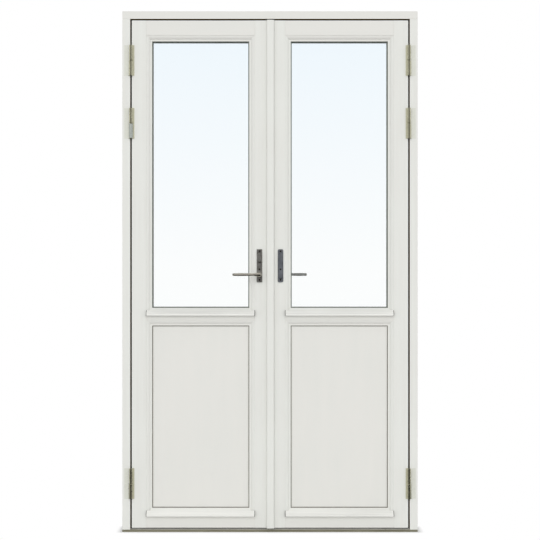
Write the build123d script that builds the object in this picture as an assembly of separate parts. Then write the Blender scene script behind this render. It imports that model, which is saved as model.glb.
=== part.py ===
from build123d import *
from math import acos, cos, pi, radians, sin, tan
import os

# Outward-opening French doors with their frame, in millimetres.
# X runs to the right as seen from outside, Y runs inwards and Z runs up.
# The origin is under the middle of the threshold. The left leaf is the active one.

# Frame
FRAME_WIDTH = 1180
FRAME_HEIGHT = 2080
FRAME_DEPTH = 115
JAMB_FACE = 32
HEAD_FACE = 31
STOP_WIDTH = 14
SEAL_GAP = 4
SEAL_WIDTH = 6
SEAL_CLEARANCE = 0.3
FRAME_ARRIS = 1
FIXING_RADIUS = 6
FIXING_HEIGHT_SHARES = (0.1, 0.37, 0.63, 0.9)

# Threshold
THRESHOLD_THICKNESS = 9
THRESHOLD_ROUND = 4
THRESHOLD_STOP_RISE = 22
THRESHOLD_STOP_FALL = 8
STRIP_HEIGHT = 3
STRIP_DEPTH = 44
STRIP_SETBACK = 7

# Gaps round the leaves
EDGE_GAP = 6
MEETING_GAP = 5
BOTTOM_GAP = 4.5

# Leaves
LEAF_THICKNESS = 56
STILE_WIDTH = 80.5
TOP_RAIL_WIDTH = 82
MID_RAIL_WIDTH = 71
BOTTOM_RAIL_WIDTH = 78
PANEL_SIGHT_HEIGHT = 729.5
MEETING_BEVEL = 2.5
LEAF_ARRIS = 1
JOINT_GROOVE = 1

# Moulding round the openings, from the flat of the stile to the sight edge
MOULD_WIDTH = 23
QUIRK_DEPTH = 2
OVOLO_WIDTH = 15
OVOLO_DEPTH = 9
OVOLO_MID_SHARES = (0.62, 0.3)
FILLET_STEP = 1.5
LIP_DEPTH = 14.5
REBATE_WIDTH = 16

# Sill bars under the glass and under the panel
SILL_DROP = 8
SILL_REACH = 18
SILL_TOP_FLAT = 3
SILL_NOSE_HEIGHT = 7
SILL_NOSE_ROUND = 2
SILL_END_SETBACK = 2
DRIP_SETBACK = 5
DRIP_WIDTH = 4
DRIP_DEPTH = 2.5

# Glazing
GASKET_THICKNESS = 2
PANE_THICKNESS = 4
PANE_CAVITY = 16
GLASS_CLEARANCE = 3
GLASS_GASKET_LIP = 3.8
PANEL_GASKET_LIP = 3
SPACER_WIDTH = 11
BEAD_CHAMFER = 4

# Cover strip over the meeting gap, fixed to the active leaf
COVER_FOOT = 12.5
COVER_OVERLAP = 16
COVER_RISE = 16
COVER_CLEARANCE = 2.5
COVER_ROUND = 3

# Lift-off hinges
HINGE_ABOVE_BOTTOM = 177
HINGES_BELOW_TOP = (411, 160)
HINGE_LENGTH = 122
HINGE_AXIS_INSET = 3
HINGE_SET_OUT = 8
KNUCKLE_RADIUS = 7
KNUCKLE_CHAMFER = 1.5
KNUCKLE_GAP = 1
PIN_RADIUS = 4
PIN_CLEARANCE = 0.2
PIN_LENGTH = 45
WING_THICKNESS = 2
WING_DEPTH = 38
WING_LIP = 10
LIP_RELIEF = 3
JAMB_PLATE_WIDTH = 17
JAMB_PLATE_SETBACK = 7
JAMB_PLATE_PROUD = 0.5
JAMB_PLATE_THICKNESS = 2
WEB_THICKNESS = 3
WEB_OVERLAP = 4
SLEEVE_WALL = 0.75
SLEEVED_HINGE = 1

# Espagnolette in each meeting stile
HANDLE_BACKSET = 39.5
HANDLE_HEIGHT = 1028
FACEPLATE_WIDTH = 20
FACEPLATE_THICKNESS = 3
ROD_THICKNESS = 6
ROD_DEPTH = 8
ROD_CLEARANCE = 0.4
ROD_TIP_RECESS = 1
ROD_TIP_CHAMFER = 1.5
GEAR_MODULE = 1.25
GEAR_TEETH = 17
GEAR_BACKLASH = 0.25
PRESSURE_ANGLE = 20
DEDENDUM_SHARE = 1.25
FLANK_SHARES = (0, 1)
RACK_TEETH = 9
RACK_TEETH_BEHIND = 2
RACK_BACK = 5
ARM_HEIGHT = 10
ARM_SPACING = 20
HUB_RADIUS = 7
CASE_WALL = 1.6
CASE_FIT = 0.3
HANDLE_TURN = 90
SPINDLE_SIZE = 7
SPINDLE_BORE_RADIUS = 8
KEEP_THICKNESS = 3
KEEP_WIDTH = 18
KEEP_LENGTH = 40
KEEP_CLEARANCE = 1

# Handle plates and levers
PLATE_WIDTH = 22
PLATE_HEIGHT = 132
PLATE_THICKNESS = 3
PLATE_CORNER = 2.5
BLIND_PLATE_CORNER = 6
PLATE_BELOW_SPINDLE = 31
COLLAR_RADIUS = 11
COLLAR_RISE = 4
COLLAR_CHAMFER = 2
BOSS_HEIGHT = 40
BOSS_WIDTH = 20
BOSS_RISE = 7
BOSS_ROUND = 5
BOSS_ABOVE_SPINDLE = 66
PAD_HEIGHT = 106
PAD_WIDTH = 20.5
PAD_RISE = 3.5
PAD_ROUND = 3
SCREW_OFFSETS = (-21, 21, 93)
SCREW_HEAD_RADIUS = 3.4
SCREW_HEAD_HEIGHT = 1.6
SCREW_SHANK_RADIUS = 1.75
SCREW_LENGTH = 16
SCREW_CLEARANCE = 0.1
NECK_RADIUS = 7.5
NECK_CLEARANCE = 0.4
SOCKET_DEPTH = 14
LEVER_STANDOFF = 42
LEVER_HUB = 9
LEVER_TAPER = 24
LEVER_THIN = 5
LEVER_THICK = 6
LEVER_TIP = 5.5
LEVER_LENGTH = 108
LEVER_SWELL_SHARE = 0.6

# One overrun serves all cuts
OVERRUN = 5

# Planes and lines that the pieces share
front_y = -FRAME_DEPTH / 2
back_y = FRAME_DEPTH / 2
leaf_back_y = front_y + LEAF_THICKNESS
leaf_mid_y = front_y + LEAF_THICKNESS / 2
stop_y = leaf_back_y + SEAL_GAP
frame_side = FRAME_WIDTH / 2
jamb_inner = frame_side - JAMB_FACE
stop_inner = jamb_inner - STOP_WIDTH
head_under = FRAME_HEIGHT - HEAD_FACE
stop_under = head_under - STOP_WIDTH
threshold_stop_top = THRESHOLD_THICKNESS + THRESHOLD_STOP_RISE
strip_top = THRESHOLD_THICKNESS + STRIP_HEIGHT

leaf_outer = jamb_inner - EDGE_GAP
leaf_inner = MEETING_GAP / 2
leaf_top = head_under - EDGE_GAP
leaf_bottom = strip_top + BOTTOM_GAP
sight_inner = leaf_inner + STILE_WIDTH
sight_outer = leaf_outer - STILE_WIDTH
flat_inner = sight_inner - MOULD_WIDTH
flat_outer = sight_outer + MOULD_WIDTH
panel_low = leaf_bottom + BOTTOM_RAIL_WIDTH
panel_high = panel_low + PANEL_SIGHT_HEIGHT
glass_low = panel_high + MID_RAIL_WIDTH
glass_high = leaf_top - TOP_RAIL_WIDTH
core_width = MOULD_WIDTH - REBATE_WIDTH
infill_thickness = 2 * PANE_THICKNESS + PANE_CAVITY
infill_front = front_y + LIP_DEPTH + GASKET_THICKNESS
infill_back = infill_front + infill_thickness
bead_front = infill_back + GASKET_THICKNESS
infill_cover = REBATE_WIDTH - GLASS_CLEARANCE
bottom_joint = (leaf_bottom - OVERRUN, panel_low - MOULD_WIDTH - SILL_DROP)
mid_joint = (panel_high + MOULD_WIDTH, glass_low - MOULD_WIDTH - SILL_DROP)
top_joint = (glass_high + MOULD_WIDTH, leaf_top + OVERRUN)

hinge_x = leaf_outer + HINGE_AXIS_INSET
hinge_y = front_y - HINGE_SET_OUT
hinge_heights = (leaf_bottom + HINGE_ABOVE_BOTTOM, *[leaf_top - drop for drop in HINGES_BELOW_TOP])

handle_x = leaf_inner + HANDLE_BACKSET
faceplate_front = leaf_inner + MEETING_BEVEL * (LEAF_THICKNESS + FACEPLATE_WIDTH) / (2 * LEAF_THICKNESS)
faceplate_back = faceplate_front + FACEPLATE_THICKNESS
rod_inner = faceplate_back + ROD_CLEARANCE
rod_outer = rod_inner + ROD_THICKNESS
rod_mid = (rod_inner + rod_outer) / 2
rod_sides = (leaf_mid_y - ROD_DEPTH / 2, leaf_mid_y + ROD_DEPTH / 2)
pitch_radius = GEAR_MODULE * GEAR_TEETH / 2
dedendum = GEAR_MODULE * DEDENDUM_SHARE
tooth_pitch = pi * GEAR_MODULE
rod_travel = pitch_radius * radians(HANDLE_TURN)
front_rack_back = handle_x - pitch_radius - dedendum - RACK_BACK
rear_rack_back = handle_x + pitch_radius + dedendum + RACK_BACK
top_arm_low = HANDLE_HEIGHT + ARM_SPACING
bottom_arm_high = HANDLE_HEIGHT - ARM_SPACING - rod_travel
case_low = bottom_arm_high - ARM_HEIGHT - rod_travel - CASE_WALL - ROD_CLEARANCE
case_high = top_arm_low + ARM_HEIGHT + rod_travel + CASE_WALL + ROD_CLEARANCE
case_depth = ROD_DEPTH + 2 * ROD_CLEARANCE + 2 * CASE_WALL
case_outer = rear_rack_back + ROD_CLEARANCE + CASE_WALL
plate_mid = HANDLE_HEIGHT - PLATE_BELOW_SPINDLE + PLATE_HEIGHT / 2


def block(x_range, y_range, z_range):
    """A straight-sided block between two places on each axis."""
    ranges = (x_range, y_range, z_range)
    centre = [(low + high) / 2 for low, high in ranges]
    return Pos(*centre) * Box(*[high - low for low, high in ranges])


def bar_along_y(x, z, radius, y_range):
    """A round bar that runs along Y."""
    low, high = y_range
    return Pos(x, (low + high) / 2, z) * Rot(90, 0, 0) * Cylinder(radius, high - low)


def outline_prism(points):
    """A prism through the whole depth of the doors, drawn as the doors are seen from outside."""
    return extrude(Plane.XZ * Polygon(*points, align=None), amount=2 * FRAME_DEPTH, both=True)


def eased(face, corners, radius):
    """A section with the named corners rounded."""
    picked = [face.vertices().sort_by_distance(Vector(*corner))[0] for corner in corners]
    return fillet(picked, radius)


def along_x(section, x_range):
    """A section drawn in Y and Z, drawn out along X."""
    low, high = x_range
    return extrude(Plane.YZ.offset(low) * section, amount=high - low, dir=(1, 0, 0))


def along_z(section, z_range):
    """A section drawn in X and Y, drawn out along Z."""
    low, high = z_range
    return extrude(Pos(0, 0, low) * section, amount=high - low, dir=(0, 0, 1))


def ring(outer, inner, y_range):
    """A rectangular ring; outer and inner are (x low, x high, z low, z high)."""
    walls = block(outer[:2], y_range, outer[2:])
    return walls - block(inner[:2], (y_range[0] - OVERRUN, y_range[1] + OVERRUN), inner[2:])


def grown(opening, margin):
    """An opening (x low, x high, z low, z high) made larger all round."""
    return (opening[0] - margin, opening[1] + margin, opening[2] - margin, opening[3] + margin)


glass_opening = (sight_inner, sight_outer, glass_low, glass_high)
panel_opening = (sight_inner, sight_outer, panel_low, panel_high)


# Leaf framing

def groove_section(across, along):
    """The section of a V-groove, as a square on its corner in the face that it is cut into."""
    points = ((across - JOINT_GROOVE, along), (across, along + JOINT_GROOVE),
              (across + JOINT_GROOVE, along), (across, along - JOINT_GROOVE))
    return Polygon(*points, align=None)


def joint_grooves(lines, joints):
    """V-grooves where rails meet stiles, in both faces of the leaf."""
    faces = (front_y, leaf_back_y)
    return [along_z(groove_section(x, y), z_range) for x in lines for y in faces for z_range in joints]


def moulding_edges(place):
    """Quirk, ovolo, fillet and lip, from the flat to the rebate; place turns (across, depth) to a point."""
    quirk = place(0, QUIRK_DEPTH)
    ovolo_rise = (OVOLO_DEPTH - QUIRK_DEPTH) * OVOLO_MID_SHARES[1]
    ovolo_mid = place(OVOLO_WIDTH * OVOLO_MID_SHARES[0], QUIRK_DEPTH + ovolo_rise)
    ovolo_end = place(OVOLO_WIDTH, OVOLO_DEPTH)
    fillet_depth = OVOLO_DEPTH + FILLET_STEP
    lip = Polyline(
        ovolo_end,
        place(OVOLO_WIDTH, fillet_depth),
        place(MOULD_WIDTH, fillet_depth),
        place(MOULD_WIDTH, LIP_DEPTH),
        place(core_width, LIP_DEPTH),
        place(core_width, LEAF_THICKNESS),
    )
    return Polyline(place(0, 0), quirk) + ThreePointArc(quirk, ovolo_mid, ovolo_end) + lip


def stile(flat_x, edge_front, edge_back):
    """One stile with its mouldings, mitred where the rails' mouldings meet them."""
    way = 1 if edge_front < flat_x else -1

    def place(across, depth):
        return (flat_x + way * across, front_y + depth)

    corners = ((edge_front, front_y), (edge_back, leaf_back_y))
    rest = Polyline(place(core_width, LEAF_THICKNESS), corners[1], corners[0], place(0, 0))
    section = eased(make_face(moulding_edges(place) + rest), corners, LEAF_ARRIS)
    sight_x = flat_x + way * MOULD_WIDTH
    outline = [(edge_front, leaf_bottom), (flat_x, leaf_bottom)]
    for low, high in ((panel_low, panel_high), (glass_low, glass_high)):
        outline += [(flat_x, low - MOULD_WIDTH), (sight_x, low)]
        outline += [(sight_x, high), (flat_x, high + MOULD_WIDTH)]
    outline += [(flat_x, leaf_top), (edge_front, leaf_top)]
    return along_z(section, (leaf_bottom, leaf_top)) & outline_prism(outline)


def rail(section, low_points, high_points):
    """A rail between the stiles, trimmed to an outline of its lower and upper ends."""
    outline = [*low_points, *[(flat_inner + flat_outer - x, z) for x, z in reversed(low_points)]]
    outline += [*[(flat_inner + flat_outer - x, z) for x, z in high_points], *reversed(high_points)]
    return along_x(section, (flat_inner, flat_outer)) & outline_prism(outline)


def top_rail():
    flat_z = glass_high + MOULD_WIDTH

    def place(across, depth):
        return (front_y + depth, flat_z - across)

    corners = ((front_y, leaf_top), (leaf_back_y, leaf_top))
    rest = Polyline(place(core_width, LEAF_THICKNESS), corners[1], corners[0], place(0, 0))
    section = eased(make_face(moulding_edges(place) + rest), corners, LEAF_ARRIS)
    return rail(section, [(flat_inner, flat_z), (sight_inner, glass_high)], [(flat_inner, leaf_top)])


def sill_seat(sight_z):
    """The top of a rail, cut back to seat a sill bar, from the inner face to the outer face."""
    flat_z = sight_z - MOULD_WIDTH
    return [
        (leaf_back_y, flat_z + core_width),
        (front_y + LIP_DEPTH, flat_z + core_width),
        (front_y + LIP_DEPTH, flat_z - SILL_DROP),
        (front_y, flat_z - SILL_DROP),
    ]


def mid_rail():
    low_flat = panel_high + MOULD_WIDTH
    high_flat = glass_low - MOULD_WIDTH

    def place(across, depth):
        return (front_y + depth, low_flat - across)

    rest = Polyline(place(core_width, LEAF_THICKNESS), *sill_seat(glass_low), place(0, 0))
    section = make_face(moulding_edges(place) + rest)
    low_points = [(flat_inner, low_flat), (sight_inner, panel_high)]
    high_points = [(flat_inner, high_flat), (sight_inner, glass_low)]
    return rail(section, low_points, high_points)


def bottom_rail():
    flat_z = panel_low - MOULD_WIDTH
    corners = ((front_y, leaf_bottom), (leaf_back_y, leaf_bottom))
    section = Polygon(*corners, *sill_seat(panel_low), align=None)
    section = eased(section, corners, LEAF_ARRIS)
    high_points = [(flat_inner, flat_z), (sight_inner, panel_low)]
    return rail(section, [(flat_inner, leaf_bottom)], high_points)


def sill_bar(sight_z):
    """A weathered bar with a sloping top, a round nose and a drip groove.

    Its seat is mitred into the mouldings, and its nose runs square across in front of them.
    """
    flat_z = sight_z - MOULD_WIDTH
    under = flat_z - SILL_DROP
    nose_y = front_y - SILL_REACH
    groove_y = nose_y + DRIP_SETBACK
    nose = ((nose_y, under + SILL_NOSE_HEIGHT), (nose_y, under))
    section = Polygon(
        (front_y + LIP_DEPTH, sight_z),
        (front_y + LIP_DEPTH - SILL_TOP_FLAT, sight_z),
        *nose,
        (groove_y, under),
        (groove_y, under + DRIP_DEPTH),
        (groove_y + DRIP_WIDTH, under + DRIP_DEPTH),
        (groove_y + DRIP_WIDTH, under),
        (front_y + LIP_DEPTH, under),
        align=None,
    )
    section = eased(section, nose, SILL_NOSE_ROUND)
    heights = (under - OVERRUN, sight_z + OVERRUN)
    in_front = block((leaf_inner, leaf_outer), (nose_y - OVERRUN, front_y), heights)
    seat = rail(section, [(flat_inner, under)], [(flat_inner, flat_z), (sight_inner, sight_z)]) - in_front
    nose_bar = along_x(section, (flat_inner + SILL_END_SETBACK, flat_outer - SILL_END_SETBACK)) & in_front
    return seat + nose_bar


# Glazing and panel

def infill_box(opening, y_range):
    edges = grown(opening, infill_cover)
    return block(edges[:2], y_range, edges[2:])


def glass_panes():
    outer = infill_box(glass_opening, (infill_front, infill_front + PANE_THICKNESS))
    inner = infill_box(glass_opening, (infill_back - PANE_THICKNESS, infill_back))
    return Compound(children=[outer, inner])


def glass_spacer():
    edges = grown(glass_opening, infill_cover)
    y_range = (infill_front + PANE_THICKNESS, infill_back - PANE_THICKNESS)
    return ring(edges, grown(edges, -SPACER_WIDTH), y_range)


def gaskets(opening, lip):
    edges = grown(opening, infill_cover)
    inner = grown(opening, -lip)
    outside = ring(edges, inner, (infill_front - GASKET_THICKNESS, infill_front))
    inside = ring(edges, inner, (infill_back, bead_front))
    return Compound(children=[outside, inside])


def beads(opening):
    """Four glazing beads with a chamfered sight edge, mitred at the corners."""
    x_low, x_high, z_low, z_high = opening

    def section(place):
        return Polygon(
            place(0, bead_front),
            place(REBATE_WIDTH, bead_front),
            place(REBATE_WIDTH, leaf_back_y),
            place(BEAD_CHAMFER, leaf_back_y),
            place(0, leaf_back_y - BEAD_CHAMFER),
            align=None,
        )

    seat = grown(opening, REBATE_WIDTH)
    upright = outline_prism([(x_low, z_low), (x_low, z_high), (seat[0], seat[3]), (seat[0], seat[2])])
    level = outline_prism([(x_low, z_low), (x_high, z_low), (seat[1], seat[2]), (seat[0], seat[2])])
    left = along_z(section(lambda across, y: (x_low - across, y)), seat[2:]) & upright
    low = along_x(section(lambda across, y: (y, z_low - across)), seat[:2]) & level
    right = mirror(left, about=Plane.YZ.offset((x_low + x_high) / 2))
    high = mirror(low, about=Plane.XY.offset((z_low + z_high) / 2))
    return Compound(children=[left, right, low, high])


def panel():
    return infill_box(panel_opening, (infill_front, infill_back))


def cover_strip():
    """The strip over the meeting gap: a foot on the active leaf and an overlap in front of the other."""
    face_y = front_y - COVER_RISE
    front = ((COVER_FOOT, face_y), (-COVER_OVERLAP, face_y))
    section = Polygon(
        (COVER_FOOT, front_y),
        *front,
        (-COVER_OVERLAP, front_y - COVER_CLEARANCE),
        (leaf_inner + LEAF_ARRIS, front_y - COVER_CLEARANCE),
        (leaf_inner + LEAF_ARRIS, front_y),
        align=None,
    )
    return along_z(eased(section, front, COVER_ROUND), (leaf_bottom, leaf_top))


# Hinges

def hinge_ranges(height):
    """The lower and the upper knuckle's heights, and the whole hinge's."""
    half = HINGE_LENGTH / 2
    return ((height - half, height - KNUCKLE_GAP), (height + KNUCKLE_GAP, height + half),
            (height - half, height + half))


def knuckle(z_range):
    low, high = z_range
    barrel = Cylinder(KNUCKLE_RADIUS, high - low)
    rims = barrel.edges().filter_by(GeomType.CIRCLE)
    return Pos(hinge_x, hinge_y, (low + high) / 2) * chamfer(rims, KNUCKLE_CHAMFER)


def jamb_plate_range():
    start = jamb_inner + JAMB_PLATE_SETBACK
    return (start, start + JAMB_PLATE_WIDTH)


def hinge_frame_half(height):
    """The lower knuckle with its pin, and the plate let into the face of the jamb."""
    lower, upper, whole = hinge_ranges(height)
    plate_x = jamb_plate_range()
    plate_y = (front_y - JAMB_PLATE_PROUD, front_y - JAMB_PLATE_PROUD + JAMB_PLATE_THICKNESS)
    web_y = (plate_y[0] - WEB_THICKNESS, plate_y[0])
    web = block((hinge_x, plate_x[0] + WEB_OVERLAP), web_y, lower)
    pin = Pos(hinge_x, hinge_y, height) * Cylinder(PIN_RADIUS, 2 * PIN_LENGTH)
    return knuckle(lower) + block(plate_x, plate_y, whole) + web + pin


def hinge_leaf_half(height):
    """The upper knuckle, bored for the pin, the wing let into the leaf's edge and a lip on its face."""
    lower, upper, whole = hinge_ranges(height)
    wing_x = (leaf_outer - WING_THICKNESS, leaf_outer)
    wing = block(wing_x, (front_y, front_y + WING_DEPTH), whole)
    neck = block(wing_x, (hinge_y, front_y), upper)
    lip_y = (front_y - WING_THICKNESS, front_y)
    lip = block((leaf_outer - WING_LIP, leaf_outer - LIP_RELIEF), lip_y, whole)
    root = block((leaf_outer - LIP_RELIEF, leaf_outer), lip_y, upper)
    bore = Cylinder(PIN_RADIUS + PIN_CLEARANCE, 2 * (PIN_LENGTH + KNUCKLE_GAP))
    return knuckle(upper) + wing + neck + root + lip - Pos(hinge_x, hinge_y, height) * bore


def hinge_sleeve():
    """The plastic sleeve over one lower knuckle, slit where the web of the hinge passes."""
    low, high = hinge_ranges(hinge_heights[SLEEVED_HINGE])[0]
    height = high - low - 2 * KNUCKLE_CHAMFER
    middle = Pos(hinge_x, hinge_y, (low + high) / 2)
    tube = middle * (Cylinder(KNUCKLE_RADIUS + SLEEVE_WALL, height) - Cylinder(KNUCKLE_RADIUS, height))
    slit_y = (front_y - JAMB_PLATE_PROUD - WEB_THICKNESS - SLEEVE_WALL, front_y)
    return tube - block((hinge_x, jamb_inner + JAMB_FACE), slit_y, (low, high))


def hinge_recesses():
    """What the wings take out of the edge of a leaf."""
    wing_x = (leaf_outer - WING_THICKNESS, leaf_outer + OVERRUN)
    y_range = (front_y - OVERRUN, front_y + WING_DEPTH)
    return [block(wing_x, y_range, hinge_ranges(height)[2]) for height in hinge_heights]


# Espagnolette

def involute(angle):
    return tan(angle) - angle


def tooth_points():
    """One tooth of the drive gear: involute flanks down to the base circle, radial below it."""
    pressure = radians(PRESSURE_ANGLE)
    base = pitch_radius * cos(pressure)
    root = pitch_radius - dedendum
    tip = pitch_radius + GEAR_MODULE
    half_at_pitch = (tooth_pitch / 2 - GEAR_BACKLASH) / (2 * pitch_radius)
    flank = [(root, half_at_pitch + involute(pressure))]
    for share in FLANK_SHARES:
        radius = base + (tip - base) * share
        turned = involute(acos(base / radius))
        flank.append((radius, half_at_pitch + involute(pressure) - turned))
    rising = [(radius * cos(half), -radius * sin(half)) for radius, half in flank]
    falling = [(radius * cos(half), radius * sin(half)) for radius, half in reversed(flank)]
    return [(0, 0), *rising, *falling]


def drive_gear():
    """Pinion with a hub that turns in the case and a square hole for the spindle."""
    facing = Plane(origin=(handle_x, leaf_mid_y, HANDLE_HEIGHT), x_dir=(1, 0, 0), z_dir=(0, -1, 0))
    tooth = Polygon(*tooth_points(), align=None)
    teeth = [Rot(0, 0, 360 * n / GEAR_TEETH) * tooth for n in range(GEAR_TEETH)]
    outline = Circle(pitch_radius - dedendum) + teeth
    gear = extrude(facing * outline, amount=ROD_DEPTH / 2, both=True)
    hub = extrude(facing * Circle(HUB_RADIUS), amount=case_depth / 2, both=True)
    square = extrude(facing * Rectangle(SPINDLE_SIZE, SPINDLE_SIZE), amount=case_depth, both=True)
    return gear + hub - square


def rack(pitch_x, way, first_z, z_range):
    """A toothed bar; way is +1 where the teeth point away from the meeting edge."""
    root_x = pitch_x - way * dedendum
    back_x = root_x - way * RACK_BACK
    tip_x = pitch_x + way * GEAR_MODULE
    lean = tan(radians(PRESSURE_ANGLE))
    half = tooth_pitch / 4 - GEAR_BACKLASH / 2
    half_root = half + dedendum * lean
    half_tip = half - GEAR_MODULE * lean
    body = block((min(root_x, back_x), max(root_x, back_x)), rod_sides, z_range)
    for n in range(RACK_TEETH):
        z = first_z + n * tooth_pitch
        tooth = Polygon(
            (root_x, z - half_root),
            (tip_x, z - half_tip),
            (tip_x, z + half_tip),
            (root_x, z + half_root),
            align=None,
        )
        body += extrude(Plane.XZ.offset(-leaf_mid_y) * tooth, amount=ROD_DEPTH / 2, both=True)
    return body


def rod_shaft(low, high, tip):
    """A flat rod with a bevelled tip at one end."""
    shaft = block((rod_inner, rod_outer), rod_sides, (low, high))
    tip_face = shaft.faces().sort_by(Axis.Z)[-1 if tip == high else 0]
    return chamfer(tip_face.edges(), ROD_TIP_CHAMFER)


def top_rod():
    """Rod, arm and the rack on the meeting-edge side of the gear, which goes up as the lever goes down."""
    arm_z = (top_arm_low, top_arm_low + ARM_HEIGHT)
    first_z = HANDLE_HEIGHT - (RACK_TEETH - 1 - RACK_TEETH_BEHIND) * tooth_pitch
    teeth = rack(handle_x - pitch_radius, 1, first_z, (first_z - tooth_pitch, arm_z[1]))
    arm = block((rod_inner, front_rack_back), rod_sides, arm_z)
    tip = leaf_top - ROD_TIP_RECESS
    return rod_shaft(arm_z[0], tip, tip) + arm + teeth


def bottom_rod():
    """Rod, arm and the rack on the hinge side of the gear, which goes down with the lever."""
    arm_z = (bottom_arm_high - ARM_HEIGHT, bottom_arm_high)
    first_z = HANDLE_HEIGHT - (RACK_TEETH_BEHIND - 1 / 2) * tooth_pitch
    top_z = first_z + RACK_TEETH * tooth_pitch
    teeth = rack(handle_x + pitch_radius, -1, first_z, (arm_z[0], top_z))
    arm = block((rod_inner, rear_rack_back), rod_sides, arm_z)
    tip = leaf_bottom + ROD_TIP_RECESS
    return rod_shaft(tip, arm_z[1], tip) + arm + teeth


def gear_case():
    """A folded case, open to the faceplate, with bearings for the hub and ways out for the rods."""
    sides = (leaf_mid_y - case_depth / 2, leaf_mid_y + case_depth / 2)
    inside = (sides[0] + CASE_WALL, sides[1] - CASE_WALL)
    body = block((faceplate_back, case_outer), sides, (case_low, case_high))
    hollow = block((faceplate_back - OVERRUN, case_outer - CASE_WALL), inside,
                   (case_low + CASE_WALL, case_high - CASE_WALL))
    ways_out = block((faceplate_back - OVERRUN, rod_outer + ROD_CLEARANCE), inside,
                     (case_low - OVERRUN, case_high + OVERRUN))
    bearing = bar_along_y(handle_x, HANDLE_HEIGHT, HUB_RADIUS + PIN_CLEARANCE,
                          (sides[0] - OVERRUN, sides[1] + OVERRUN))
    return body - hollow - ways_out - bearing


def faceplate():
    half = FACEPLATE_WIDTH / 2
    sides = (leaf_mid_y - half, leaf_mid_y + half)
    return block((faceplate_front, faceplate_back), sides, (leaf_bottom, leaf_top))


def lock_recesses(through):
    """What the espagnolette takes out of a meeting stile; through bores it for an outside lever too."""
    half = FACEPLATE_WIDTH / 2
    whole = (leaf_bottom - OVERRUN, leaf_top + OVERRUN)
    sides = (rod_sides[0] - ROD_CLEARANCE, rod_sides[1] + ROD_CLEARANCE)
    pocket_half = case_depth / 2 + CASE_FIT
    seat = block((leaf_inner - OVERRUN, faceplate_back), (leaf_mid_y - half, leaf_mid_y + half), whole)
    groove = block((leaf_inner, rod_outer + ROD_CLEARANCE), sides, whole)
    pocket_sides = (leaf_mid_y - pocket_half, leaf_mid_y + pocket_half)
    pocket_z = (case_low - CASE_FIT, case_high + CASE_FIT)
    pocket = block((faceplate_front, case_outer + CASE_FIT), pocket_sides, pocket_z)
    bore_front = front_y - OVERRUN if through else leaf_mid_y
    bore = bar_along_y(handle_x, HANDLE_HEIGHT, SPINDLE_BORE_RADIUS, (bore_front, leaf_back_y + OVERRUN))
    return [seat, groove, pocket, bore]


# Plates, screws and levers

def outside_plane(z):
    """The outer face of the leaf on the spindle's line, looking out."""
    return Plane(origin=(handle_x, front_y, z), x_dir=(1, 0, 0), z_dir=(0, -1, 0))


def to_inside(shape):
    """A piece of the outer face, turned over to the inner face."""
    return mirror(shape, about=Plane.XZ.offset(-leaf_mid_y))


def screw_bars(radius, y_range):
    return [bar_along_y(handle_x, HANDLE_HEIGHT + offset, radius, y_range) for offset in SCREW_OFFSETS]


def raised(outline, rise, rounding):
    """A raised field on a plate, with its upper edge rounded over."""
    field = extrude(outline, amount=PLATE_THICKNESS + rise)
    return fillet(field.faces().sort_by(Axis.Y)[0].edges(), rounding)


def drilled(plate):
    """A plate with holes for its screws, and room for their heads where a raised field is in the way."""
    plate_y = front_y - PLATE_THICKNESS
    head_y = (plate_y - BOSS_RISE - OVERRUN, plate_y)
    shank_y = (plate_y - OVERRUN, front_y + OVERRUN)
    for head in screw_bars(SCREW_HEAD_RADIUS + SCREW_CLEARANCE, head_y):
        plate -= head
    for shank in screw_bars(SCREW_SHANK_RADIUS + SCREW_CLEARANCE, shank_y):
        plate -= shank
    return plate


def bare_plate(corner):
    outline = RectangleRounded(PLATE_WIDTH, PLATE_HEIGHT, corner)
    return extrude(outside_plane(plate_mid) * outline, amount=PLATE_THICKNESS)


def lever_plate(with_boss):
    """A plate with a collar round the neck of the lever and, outside, a blank oval boss above it."""
    plate = bare_plate(PLATE_CORNER)
    collar_outline = outside_plane(HANDLE_HEIGHT) * Circle(COLLAR_RADIUS)
    collar = extrude(collar_outline, amount=PLATE_THICKNESS + COLLAR_RISE)
    plate += chamfer(collar.faces().sort_by(Axis.Y)[0].edges(), COLLAR_CHAMFER)
    if with_boss:
        oval = SlotOverall(BOSS_HEIGHT, BOSS_WIDTH, rotation=90)
        plate += raised(outside_plane(HANDLE_HEIGHT + BOSS_ABOVE_SPINDLE) * oval, BOSS_RISE, BOSS_ROUND)
    hole_y = (front_y - PLATE_THICKNESS - COLLAR_RISE - OVERRUN, front_y + OVERRUN)
    plate -= bar_along_y(handle_x, HANDLE_HEIGHT, NECK_RADIUS + NECK_CLEARANCE, hole_y)
    return drilled(plate)


def blind_plate():
    """The plate of the passive leaf outside: a long raised field and no lever."""
    oval = SlotOverall(PAD_HEIGHT, PAD_WIDTH, rotation=90)
    pad = raised(outside_plane(plate_mid) * oval, PAD_RISE, PAD_ROUND)
    return drilled(bare_plate(BLIND_PLATE_CORNER) + pad)


def outer_screws():
    plate_y = front_y - PLATE_THICKNESS
    heads = screw_bars(SCREW_HEAD_RADIUS, (plate_y - SCREW_HEAD_HEIGHT, plate_y))
    shanks = screw_bars(SCREW_SHANK_RADIUS, (plate_y, plate_y + SCREW_LENGTH))
    return [head + shank for head, shank in zip(heads, shanks)]


def plate_screws():
    screws = outer_screws()
    return Compound(children=[*screws, *[to_inside(screw) for screw in screws]])


def screw_pilots():
    """The holes that the plate screws leave in a stile, from both faces."""
    depth = front_y - PLATE_THICKNESS + SCREW_LENGTH + SCREW_CLEARANCE
    pilots = screw_bars(SCREW_SHANK_RADIUS + SCREW_CLEARANCE, (front_y - OVERRUN, depth))
    return [*pilots, *[to_inside(pilot) for pilot in pilots]]


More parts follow.
